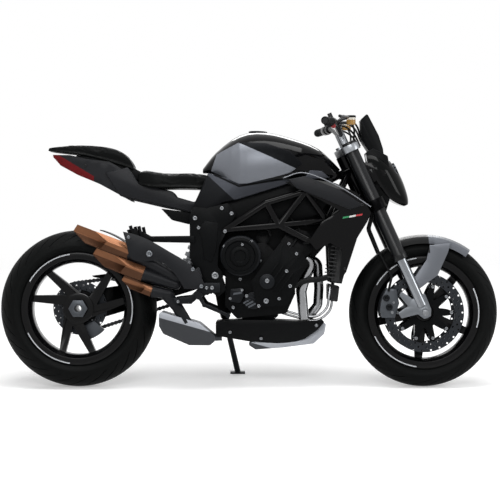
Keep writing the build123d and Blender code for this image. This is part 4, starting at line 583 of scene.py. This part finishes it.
# Fixings as (x, z, radius): each is dropped on the surface that carries it, along the bike's width, and stands
# along that surface's normal
fixings = {
    "framePlateBolts": {"nodes": ("frame_plates", "trellis_frame", "subframe"), "look": "steel_plated",
                        "bolts": [(31, 722, 8), (-76, 682, 9), (-62, 644, 7), (70, 701, 8), (44, 630, 8),
                                  (4, 453, 15), (8, 400, 8)]},
    "clutchBolts": {"nodes": ("engine_covers", "engine_block"), "look": "steel_plated",
                    "bolts": [(62, 544, 6), (113, 576, 6), (76, 485, 6), (186, 512, 6), (150, 590, 6),
                              (40, 570, 5)]},
    "engineBolts": {"nodes": ("engine_covers", "engine_block"), "look": "steel_plated",
                    "bolts": [(208, 351, 11), (76, 324, 7), (179, 331, 7), (130, 371, 7), (104, 438, 7),
                              (304, 411, 8), (212, 432, 9), (260, 360, 7), (290, 470, 7), (64, 360, 6),
                              (112, 394, 6), (330, 540, 7), (300, 580, 7), (356, 600, 7)]},
    "bellyBolts": {"nodes": ("belly_pan",), "look": "steel_plated",
                   "bolts": [(63, 226, 7), (188, 200, 7), (410, 254, 7)]},
    "archBolts": {"nodes": ("silencer_shroud",), "look": "aluminium_satin", "sides": (-1,),
                  "bolts": [(-257, 540, 13), (-84, 478, 8), (-50, 410, 8), (-340, 606, 7)]},
    "fairingBolts": {"nodes": ("side_fairings",), "look": "barAluminium_blackAnodised",
                     "bolts": [(400, 822, 6), (590, 735, 6), (522, 480, 6)]},
    "tailBolts": {"nodes": ("tail_fairing",), "look": "barAluminium_blackAnodised",
                  "bolts": [(-400, 850, 6), (-520, 895, 6)]},
    "caliperPistons": {"nodes": ("front_calipers",), "look": "darkAluminium_cast", "body": "steering",
                       "bolts": [(692, 362, 14), (704, 325, 14)]},
    "caliperBolts": {"nodes": ("front_calipers",), "look": "steel_plated", "body": "steering",
                     "bolts": [(682, 384, 6), (716, 304, 6), (722, 344, 5)]},
    "forkFootBolts": {"nodes": ("fork_feet",), "look": "steel_plated", "body": "steering",
                      "bolts": [(820, 330, 7), (800, 360, 7)]},
    "footrestBolts": {"nodes": ("rider_footrests",), "look": "steel_plated",
                      "bolts": [(-8, 404, 8), (-30, 404, 7), (-140, 352, 6)]},
}
steepest = 0.5  # a surface that faces sideways less than this carries no fixing
for name, group in fixings.items():
    for side in group.get("sides", (-1, 1)):
        hits = [(surfaceAt(group["nodes"], x, z, side), radius) for x, z, radius in group["bolts"]]
        hits = [(*hit[:2], radius) for hit, radius in hits if hit is not None and abs(hit[1][1]) > steepest]
        if hits:
            at = np.array([place for place, normal, radius in hits])
            ways = np.array([normal * np.sign(normal[1] * side) for place, normal, radius in hits])
            sizes = np.array([radius for place, normal, radius in hits], float)
            addPiece(name + ("Right" if side < 0 else "Left"), *placeShapes(*bolt, at, ways, sizes), group["look"],
                     group.get("body", "chassis"), "steel")
print("fixings placed")

# Grips: a sleeve turned about the bar, with a ribbed waist between two collars
grip = {"end": (-65.0, 395.0, 857.0), "bend": (-16.0, 168.0, 840.0), "length": 122.0, "radius": 15.2, "bore": 11.1,
        "rib": 1.0, "ribs": 22, "collar": 16.8, "sides": 28}


def barSleeve(profile, side):
    # A profile of (radius, way along the bar) turned about the bar from its end, mirrored by the side
    end, bend = np.array(grip["end"]), np.array(grip["bend"])
    way = unit(bend - end)
    first = unit(np.cross(way, (0, 0, 1)))
    p = np.asarray(profile, float)
    a = np.arange(grip["sides"]) * 2 * np.pi / grip["sides"]
    ring = np.cos(a)[:, None] * first + np.sin(a)[:, None] * np.cross(way, first)
    points = end + p[None, :, 1:] * way + p[None, :, :1] * ring[:, None, :]
    return forkToBike(points.reshape(-1, 3) * (1, side, 1)), gridFaces(grip["sides"], len(p), True, True)


bore, collar, length = grip["bore"], grip["collar"], grip["length"]
along = np.linspace(9, length - 8, 6 * grip["ribs"])
wave = np.sin(2 * np.pi * grip["ribs"] * (along - along[0]) / np.ptp(along))
ribbed = grip["radius"] + grip["rib"] * np.clip(1.6 * wave, -1, 1)
gripProfile = np.concatenate([[(bore, -1.5), (collar - 3, -1.5), (collar - 1, 0), (collar - 1, 7)],
                              np.stack([ribbed, along], axis=1),
                              [(collar, length - 7), (collar, length - 1), (bore, length - 1)]])
for side, name, replaced in ((-1, "gripRight", ("grips",)), (1, "gripLeft", ())):
    addPiece(name, *barSleeve(gripProfile, side), "blackRubber_moulded", "steering", "black_rubber", replaced)
print("grips made")

# Fuel filler: a low turned cap with a raised ring on the tank's crown, its radii as shares of the cap's
filler = {"at": (176.0, 0.0), "dropFrom": 1400.0, "radius": 38.0,
          "profile": [(0, -12), (1.0, -12), (1.0, 1.5), (0.95, 3.2), (0.80, 3.6), (0.77, 2.2), (0.72, 2.2),
                      (0.68, 3.8), (0.3, 5.4), (0, 5.6)]}
capHit = nodeTree("fuel_tank").ray_cast(Vector(toRow([(*filler["at"], filler["dropFrom"])])[0]), down)
addTurned("fuelFillerCap", np.array(filler["profile"]) * (filler["radius"], 1), toBike([capHit[0]])[0],
          bikeTurn.T @ np.array(capHit[1]), "darkAluminium_cast", "chassis", "bar_black")
print("filler cap made")

# Seats: foam blocks pulled in, remeshed, swollen by cloth pressure, each point's move capped and the base left flat
seats = {
    "riderSeat": {"node": "rider_seat", "inset": 3.5, "voxel": 5.0, "cap": 6.0, "pressure": 4.0, "fill": 0.95,
                  "seams": [(-200.0, 2.0), (-70.0, 2.0)], "piping": {"from": -285.0, "to": -10.0, "y": 62.0}},
    "passengerSeat": {"node": "passenger_seat", "inset": 3.0, "voxel": 4.0, "cap": 5.0, "pressure": 4.0, "fill": 0.95,
                      "seams": [(-560.0, 1.4)], "piping": {"from": -590.0, "to": -350.0, "y": 58.0}},
}
# faces that look down more than base stay put, and the swelling fades in over fadeOver from fadeFrom
sewing = {"steps": 20, "seamWidth": 4.0, "pipingRadius": 1.6, "pipingPoints": 28, "dropFrom": 1300.0,
          "soften": (0.5, 4), "base": -0.5, "fadeFrom": -0.6, "fadeOver": 0.5}


def evaluatedMesh(piece):
    return bpy.data.meshes.new_from_object(piece.evaluated_get(bpy.context.evaluated_depsgraph_get()))


def makeSeat(name, seat):
    mesh = bpy.data.meshes.new(name)
    bm = bmesh.new()
    bm.from_mesh(nodes[seat["node"]].data)
    bmesh.ops.remove_doubles(bm, verts=bm.verts, dist=mergeWithin)
    bm.to_mesh(mesh)
    bm.free()
    piece = bpy.data.objects.new(name, mesh)
    scene.collection.objects.link(piece)
    remesh = piece.modifiers.new("voxels", "REMESH")
    remesh.mode, remesh.voxel_size = "VOXEL", seat["voxel"] / 1000
    soften = piece.modifiers.new("soften", "SMOOTH")
    soften.factor, soften.iterations = sewing["soften"]
    mesh = evaluatedMesh(piece)
    piece.modifiers.clear()
    start, normals = meshPoints(mesh), np.empty(len(mesh.vertices) * 3)
    mesh.vertex_normals.foreach_get("vector", normals)
    normals = normals.reshape(-1, 3)
    up = normals @ bikeTurn[:, 2]
    inset = start - normals * seat["inset"] / 1000 * (up > sewing["base"])[:, None]
    mesh.vertices.foreach_set("co", inset.ravel())
    piece.data = mesh
    swollen = inset
    cloth = piece.modifiers.new("cloth", "CLOTH")
    cloth.settings.use_pressure = True
    cloth.settings.uniform_pressure_force = seat["pressure"]
    cloth.settings.effector_weights.gravity = 0
    cloth.point_cache.frame_end = sewing["steps"]
    for k in range(1, sewing["steps"] + 1):
        scene.frame_set(k)
    swollen = meshPoints(evaluatedMesh(piece))
    piece.modifiers.clear()
    scene.frame_set(1)
    move = swollen - inset
    far = np.linalg.norm(move, axis=1, keepdims=True)
    # capped, and faded out towards the base
    faded = np.clip((up - sewing["fadeFrom"]) / sewing["fadeOver"], 0, 1)[:, None]
    move = move * np.minimum(1, seat["cap"] / 1000 / np.maximum(far, 1e-9)) * faded
    final = inset + move
    # sewn channels across the seat: a narrow bell-shaped dip at each seam
    x = toBike(final)[:, 0]
    dip = sum(depth * np.exp(-((x - at) / sewing["seamWidth"]) ** 2) for at, depth in seat["seams"])
    final = final - normals * (dip / 1000 * (up > 0))[:, None]
    mesh.vertices.foreach_set("co", final.ravel())
    mesh.polygons.foreach_set("use_smooth", np.ones(len(mesh.polygons), bool))
    mesh.materials.clear()
    mesh.materials.append(materials["seatVinyl_sewn"])
    finer = piece.modifiers.new("finer", "SUBSURF")
    finer.levels = finer.render_levels = 1
    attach(piece, "chassis")
    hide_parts(seat["node"])
    # piping: a cord laid on the cover where lines from above meet it
    cover, cords, welt = treeOf(final, mesh), [], seat["piping"]
    for side in (-1, 1):
        run = np.linspace(welt["from"], welt["to"], sewing["pipingPoints"])
        starts = toRow([(x, side * welt["y"], sewing["dropFrom"]) for x in run])
        hits = [cover.ray_cast(Vector(start), down)[0] for start in starts]
        cords.append(tube(toBike([h for h in hits if h is not None]), sewing["pipingRadius"], 8, 2))
    addPiece(name + "Piping", *joinShapes(cords), "seatThread_spun", "chassis", "seat_cover")


for name, seat in seats.items():
    makeSeat(name, seat)
print("seats padded")

# Panels: outlines on the bike's side in (x, z), with a thickness in y and rounded edges. Those with two sides are
# mirrored to the other one, those in the middle reach across
panels = {
    "tankSkirt": {"outline": [(-24, 864), (92, 832), (300, 880), (432, 872), (464, 844), (328, 831), (216, 795),
                              (96, 759), (31, 743), (-25, 667), (-69, 651), (-93, 683), (-78, 745), (-50, 806)],
                  "y": (70, 121), "round": 4.0, "look": "greyMetallicPaint_sprayed", "slot": "silver_paint"},
    "tankSkirtGroove": {"outline": [(-3, 855), (99, 807), (276, 836), (276, 843), (100, 814), (0, 862)],
                        "y": (112, 122), "round": 0.5, "look": "blackPlastic_moulded", "slot": "black_plastic"},
    "underTailBox": {"outline": [(-215, 722), (-60, 702), (-86, 668), (-106, 660), (-172, 676)],
                     "y": (30, 80), "round": 4.0, "look": "blackPlastic_moulded", "slot": "black_plastic"},
    "tailCowl": {"outline": [(-440, 866), (-347, 888), (-307, 828), (-246, 812), (-166, 790), (-150, 768), (-80, 748),
                             (-40, 780), (11, 808), (31, 780), (-9, 728), (-61, 700), (-198, 732), (-379, 772)],
                 "y": (60, 97), "round": 5.0, "look": "satinGreyPaint_sprayed", "slot": "tail_grey"},
    "fairingFacet": {"outline": [(296, 836), (363, 850), (500, 796), (596, 733), (540, 716), (430, 762), (330, 800)],
                     "y": (160, 168), "round": 2.5, "look": "satinGreyPaint_sprayed", "slot": "tail_grey"},
    "framePlateFacet": {"outline": [(-66, 640), (-36, 672), (18, 662), (10, 560), (-8, 505), (-40, 520), (-50, 600)],
                        "y": (136, 143), "round": 2.5, "look": "blackAluminium_cast", "slot": "cast_black"},
    "headlightBracket": {"outline": [(612, 950), (640, 966), (700, 935), (720, 800), (690, 700), (640, 780)],
                         "y": (36, 70), "round": 4.0, "look": "blackPlastic_moulded", "slot": "black_plastic",
                         "body": "steering"},
    "headlightWinglet": {"outline": [(600, 908), (636, 906), (690, 866), (688, 852), (632, 866), (600, 880)],
                         "y": (70, 92), "round": 3.0, "look": "glossBlackPaint_sprayed", "slot": "gloss_black_paint",
                         "body": "steering"},
    "radiatorSide": {"outline": [(455, 590), (549, 611), (535, 507), (511, 420), (463, 425)],
                     "y": (96, 128), "round": 2.0, "look": "blackPlastic_moulded", "slot": "black_plastic"},
    "seatBridge": {"outline": [(-560, 938), (-460, 936), (-390, 925), (-340, 905), (-318, 882), (-290, 868),
                               (-290, 822), (-330, 840), (-440, 880), (-560, 912)], "middle": True,
                   "y": (-72, 72), "round": 8.0, "look": "blackPlastic_moulded", "slot": "black_plastic"},
    "batteryAndThrottleBox": {"outline": [(-38, 750), (440, 800), (500, 696), (470, 600), (400, 520), (300, 480),
                                          (60, 440), (0, 470), (-38, 507)], "middle": True,
                              "y": (-62, 62), "round": 6.0, "look": "blackPlastic_moulded", "slot": "black_plastic"},
}
panelSplit = 40
for name, panel in panels.items():
    near, far = panel["y"]
    sides = (1,) if panel.get("middle") else (-1, 1)
    shapes = [slabShape(panel["outline"], (side * near, side * far)) for side in sides]
    piece = addPiece(name, *joinShapes(shapes), panel["look"], panel.get("body", "chassis"), panel["slot"])
    addBevel(piece, panel["round"], 3)
    addSplit(piece, panelSplit)
print("panels made")

# Tricolour mark: three slanted tiles on each side fairing
mark = {"from": (512, 680), "to": (590, 693), "slant": (3, 7.0), "y": (160.0, 165.9),
        "looks": {"Green": "stripePaint_green", "White": "stripePaint_white", "Red": "stripePaint_red"}}
markRun = (np.array(mark["to"]) - mark["from"]) / len(mark["looks"])
for k, (colour, look) in enumerate(mark["looks"].items()):
    a, b = mark["from"] + markRun * k, mark["from"] + markRun * (k + 1)
    tile = [a, b, b + mark["slant"], a + mark["slant"]]
    shapes = [slabShape(tile, (side * mark["y"][0], side * mark["y"][1])) for side in (-1, 1)]
    addPiece("fairingMark" + colour, *joinShapes(shapes), look, "chassis", "silver_paint", smooth=False)

# Pipes, and lines of painted highlight along the fairing's edges, through points (x, y, z) on the right side; those
# with two sides are mirrored
pipes = {
    "oilLines": {"paths": [[(240, -70, 330), (310, -76, 303), (400, -80, 286), (450, -80, 318), (462, -74, 368),
                            (466, -66, 410)],
                           [(240, -58, 312), (310, -62, 290), (404, -66, 270), (462, -66, 306), (476, -60, 360),
                            (478, -54, 408)]],
                 "radius": 5.0, "look": "headerSteel_polished", "slot": "steel", "sides": (1,)},
    "coolantHoses": {"paths": [[(330, -96, 560), (380, -112, 590), (440, -116, 585), (486, -110, 560)],
                               [(300, -112, 400), (360, -122, 430), (430, -122, 440), (484, -116, 455)]],
                     "radius": 12.0, "look": "blackRubber_moulded", "slot": "black_rubber", "sides": (1,)},
    # painted highlight: pale tubes along the fairing's upper edges, on both sides
    "fairingEdgeHighlights": {"paths": [[(275, -160, 842), (363, -162, 862), (502, -164, 806), (626, -163, 727)]],
                     "radius": 2.2, "look": "silverStripPaint_sprayed", "slot": "silver_paint", "sides": (1, -1)},
    "loom": {"paths": [[(300, -100, 690), (340, -118, 640), (330, -126, 600), (300, -128, 560)],
                       [(250, -96, 700), (220, -110, 650), (226, -116, 610)]],
             "radius": 5.0, "look": "blackRubber_moulded", "slot": "black_rubber", "sides": (1,)},
}
for name, pipe in pipes.items():
    shapes = [tube(np.array(path, float) * (1, side, 1), pipe["radius"]) for path in pipe["paths"]
              for side in pipe["sides"]]
    addPiece(name, *joinShapes(shapes), pipe["look"], "chassis", pipe["slot"])
print("pipes run")

# Turned trim: profiles of (radius, height) about an axis through a place, those on the steering in the fork's frame
turned = {
    "clutchRing": {"profile": [(0, -3), (74, -3), (74, 3), (70, 5), (62, 5), (58, 1), (41, 1), (39, 9), (35, 11),
                               (25, 11), (22, 7.5), (0, 7.5)],
                   "at": (104, -162, 530), "way": (0, -1, 0), "look": "blackAluminium_cast", "slot": "cast_black",
                   "body": "chassis"},
    "reservoirCupRight": {"profile": [(0, -18), (17, -18), (18.5, -16), (18.5, 11), (0, 11)], "at": (44, -172, 825),
                          "way": (0, 0, 1), "look": "reservoirPlastic_translucent", "slot": "fluid_pot",
                          "body": "steering", "replaces": ("fluid_reservoirs",)},
    "reservoirLidRight": {"profile": [(0, 11), (19.5, 11), (19.5, 17), (18, 19), (0, 19)], "at": (44, -172, 825),
                          "way": (0, 0, 1), "look": "blackPlastic_moulded", "slot": "black_plastic",
                          "body": "steering"},
    "startSwitch": {"profile": [(0, -9), (9, -9), (9, 8), (7, 10), (0, 10)], "at": (-36, -268, 829),
                    "way": (0, -1, 0), "look": "lampPlastic_red", "slot": "lamp_red", "body": "steering"},
}
for half in ("Cup", "Lid"):
    turned[f"reservoir{half}Left"] = {**turned[f"reservoir{half}Right"], "at": (44, 172, 825), "replaces": ()}
for name, piece in turned.items():
    at = forkToBike([piece["at"]])[0] if piece["body"] == "steering" else piece["at"]
    addTurned(name, piece["profile"], at, piece["way"], piece["look"], piece["body"], piece["slot"],
              piece.get("replaces", ()))
stalk = {"path": [(44, 172, 812), (14, 171, 828), (-14, 169, 838)], "radius": 6.0}
shapes = [tube(forkToBike(np.array(stalk["path"]) * (1, side, 1)), stalk["radius"]) for side in (-1, 1)]
addPiece("reservoirStalks", *joinShapes(shapes), "barAluminium_blackAnodised", "steering", "bar_black")
print("turned trim made")

# Vents on the gear cover: slanted tiles that stand just off it
vents = {"tiles": [[(75, 374), (110, 380), (112, 388), (78, 383)],
                   [(119, 338), (146, 353), (143, 359), (116, 345)],
                   [(128, 330), (158, 346), (155, 352), (125, 337)],
                   [(138, 322), (168, 338), (165, 344), (135, 329)]],
         "sunk": 6, "proud": 2.0}
shapes = []
for tile in vents["tiles"]:
    face = surfaceAt(("engine_covers", "engine_block"), *np.mean(tile, axis=0), -1)[0][1]
    shapes.append(slabShape(tile, (face + vents["sunk"], face - vents["proud"])))
addPiece("gearCoverVents", *joinShapes(shapes), "caliperAlloy_anodised", "chassis", "cast_black", smooth=False)

# Headlamp: a projector and a light bar round it, each set on the lens where a line from ahead meets it
headlamp = {"centre": (0.0, 570.0), "radius": 30.0, "barRadius": 46.0, "barThick": 3.4, "barArc": (-20, 200),
            "sunk": 2.2, "barPoints": 23, "ahead": (400, 300),
            "profile": [(0, -14), (1.15, -14), (1.15, 0.5), (1.05, 1.5), (0.98, -2.0), (0.95, -2.0), (0.6, 1.6),
                        (0.3, 3.0), (0, 3.4)]}
forkAhead = (forkToBike([(1, 0, 0)]) - forkToBike([(0, 0, 0)]))[0]


def lensAt(y, z):
    start, end = toRow(forkToBike([(x, y, z) for x in headlamp["ahead"]]))
    hit = nodeTree("headlight_lens").ray_cast(Vector(start), Vector(end - start))
    return toBike([hit[0]])[0] - forkAhead * headlamp["sunk"]


addTurned("headlampProjector", np.array(headlamp["profile"]) * (headlamp["radius"], 1), lensAt(*headlamp["centre"]),
          forkAhead, "lampReflector_metallised", "steering", "lamp_clear")
barAngle = np.radians(np.linspace(*headlamp["barArc"], headlamp["barPoints"]))
barY = headlamp["centre"][0] + headlamp["barRadius"] * np.cos(barAngle)
barZ = headlamp["centre"][1] + headlamp["barRadius"] * np.sin(barAngle)
barPath = [lensAt(y, z) for y, z in zip(barY, barZ)]
addPiece("headlampBar", *tube(barPath, headlamp["barThick"]), "lampBar_diffusing", "steering", "lamp_clear")
print("headlamp made")

# Cables on the bars, in the fork's frame, and the instrument's screen
cables = {"paths": [[(-24, 205, 838), (30, 150, 848), (62, 80, 800), (60, 30, 740)],
                    [(-22, 200, 830), (16, 130, 812), (40, 70, 770), (44, 40, 720)],
                    [(44, 172, 812), (40, 140, 780), (20, 96, 740), (6, 80, 700)]], "radius": 4.0}
shapes = [tube(forkToBike(np.array(path, float) * (1, side, 1)), cables["radius"]) for path in cables["paths"]
          for side in (-1, 1)]
addPiece("barCables", *joinShapes(shapes), "blackRubber_moulded", "steering", "black_rubber")
screen = {"outline": [(86, 808), (61, 750), (58.5, 751), (83.5, 809)], "half": 32.0}
screenPoints, screenFaces = slabShape(screen["outline"], (-screen["half"], screen["half"]))
addPiece("instrumentScreen", forkToBike(screenPoints), screenFaces, "screenGlass_dark", "steering", "black_plastic",
         smooth=False)
print("cables run")

# Floor, world and lights, in metres
studio = {"floorHex": "#e9e9e9", "worldHex": "#ffffff", "ambient": 0.28, "floorSize": 12.0, "fade": (1.9, 4.6),
          "glow": 0.34, "aim": (0, 0, 0.5)}
softBoxes = [
    {"name": "topBox", "at": (0.1, -0.5, 3.3), "size": (3.4, 1.3), "watts": 92.0},
    {"name": "sideBox", "at": (-0.4, -4.2, 3.0), "size": (3.2, 1.0), "watts": 80.0},
    {"name": "farBox", "at": (0.3, 4.0, 2.6), "size": (3.0, 1.0), "watts": 60.0},
    {"name": "frontBox", "at": (3.6, -1.4, 1.8), "size": (0.9, 1.8), "watts": 34.0},
]


def lightFlag(tree):
    # 1 for what the camera, a mirror or glass sees, 0 for the light that falls on surfaces
    path = addNode(tree, "ShaderNodeLightPath")
    seen = path.outputs["Is Camera Ray"]
    for ray in ("Is Glossy Ray", "Is Transmission Ray"):
        seen = addNode(tree, "ShaderNodeMath", {"operation": "MAXIMUM"}, {0: seen, 1: path.outputs[ray]}).outputs[0]
    return seen


# matt paper that lifts to white for the camera, keeps the shadow and fades out into the world
floorMesh = bpy.data.meshes.new("floor")
h = studio["floorSize"] / 2
floorMesh.from_pydata([(-h, -h, 0), (h, -h, 0), (h, h, 0), (-h, h, 0)], [], [(0, 1, 2, 3)])
floor = bpy.data.objects.new("floor", floorMesh)
scene.collection.objects.link(floor)
paper = bpy.data.materials.new("floorPaper_matt")
paper.use_nodes = True
tree = paper.node_tree
tree.nodes.clear()
place = addNode(tree, "ShaderNodeTexCoord").outputs["Object"]
away = addNode(tree, "ShaderNodeVectorMath", {"operation": "LENGTH"}, {0: place})
fade = addNode(tree, "ShaderNodeMapRange", {"From Min": studio["fade"][0], "From Max": studio["fade"][1],
                                            "interpolation_type": "SMOOTHSTEP"}, {"Value": away.outputs["Value"]})
matt = addNode(tree, "ShaderNodeBsdfDiffuse", {"Color": linear(studio["floorHex"])})
lift = addNode(tree, "ShaderNodeMath", {"operation": "MULTIPLY", 1: studio["glow"]}, {0: lightFlag(tree)})
glow = addNode(tree, "ShaderNodeEmission", {"Color": (1, 1, 1, 1)}, {"Strength": lift.outputs[0]})
sheet = addNode(tree, "ShaderNodeAddShader", (), {0: matt.outputs[0], 1: glow.outputs[0]})
gone = addNode(tree, "ShaderNodeBsdfTransparent")
mixed = addNode(tree, "ShaderNodeMixShader", (), {0: fade.outputs["Result"], 1: sheet.outputs[0], 2: gone.outputs[0]})
addNode(tree, "ShaderNodeOutputMaterial", (), {"Surface": mixed.outputs[0]})
floorMesh.materials.append(paper)
scene.world = bpy.data.worlds.new("studio")
scene.world.use_nodes = True
tree = scene.world.node_tree
tree.nodes.clear()
level = addNode(tree, "ShaderNodeMapRange", {"To Min": studio["ambient"], "To Max": 1.0}, {"Value": lightFlag(tree)})
sky = addNode(tree, "ShaderNodeBackground", {"Color": linear(studio["worldHex"])},
              {"Strength": level.outputs["Result"]})
addNode(tree, "ShaderNodeOutputWorld", (), {"Surface": sky.outputs["Background"]})
for box in softBoxes:
    light = bpy.data.lights.new(box["name"], "AREA")
    light.shape = "RECTANGLE"
    light.size, light.size_y = box["size"]
    light.energy = box["watts"]
    stand = bpy.data.objects.new(box["name"], light)
    stand.location = box["at"]
    stand.rotation_mode = "QUATERNION"
    stand.rotation_quaternion = (Vector(studio["aim"]) - Vector(box["at"])).to_track_quat("-Z", "Y")
    scene.collection.objects.link(stand)
print("studio lit")

# The camera stands square to the leaning bike, so that the picture shows it as the photograph does
cameraView = {"aim": (143.7, 0.0, 555.0), "distance": 7500.0, "width": 2036.5, "sensor": 36.0, "clip": 200.0}
camData = bpy.data.cameras.new("camera")
camera = bpy.data.objects.new("camera", camData)
scene.collection.objects.link(camera)
scene.camera = camera
eye = toRow([cameraView["aim"]])[0] - bikeTurn[:, 1] * cameraView["distance"] / 1000
axes = np.stack([bikeTurn[:, 0], bikeTurn[:, 2], -bikeTurn[:, 1]], axis=1)
camera.matrix_world = Matrix.Translation(Vector(eye)) @ Matrix(axes.tolist()).to_4x4()
camData.sensor_width = cameraView["sensor"]
camData.lens = cameraView["sensor"] * cameraView["distance"] / cameraView["width"]
camData.clip_end = cameraView["clip"]
scene.view_settings.view_transform = "Standard"
print("camera placed")
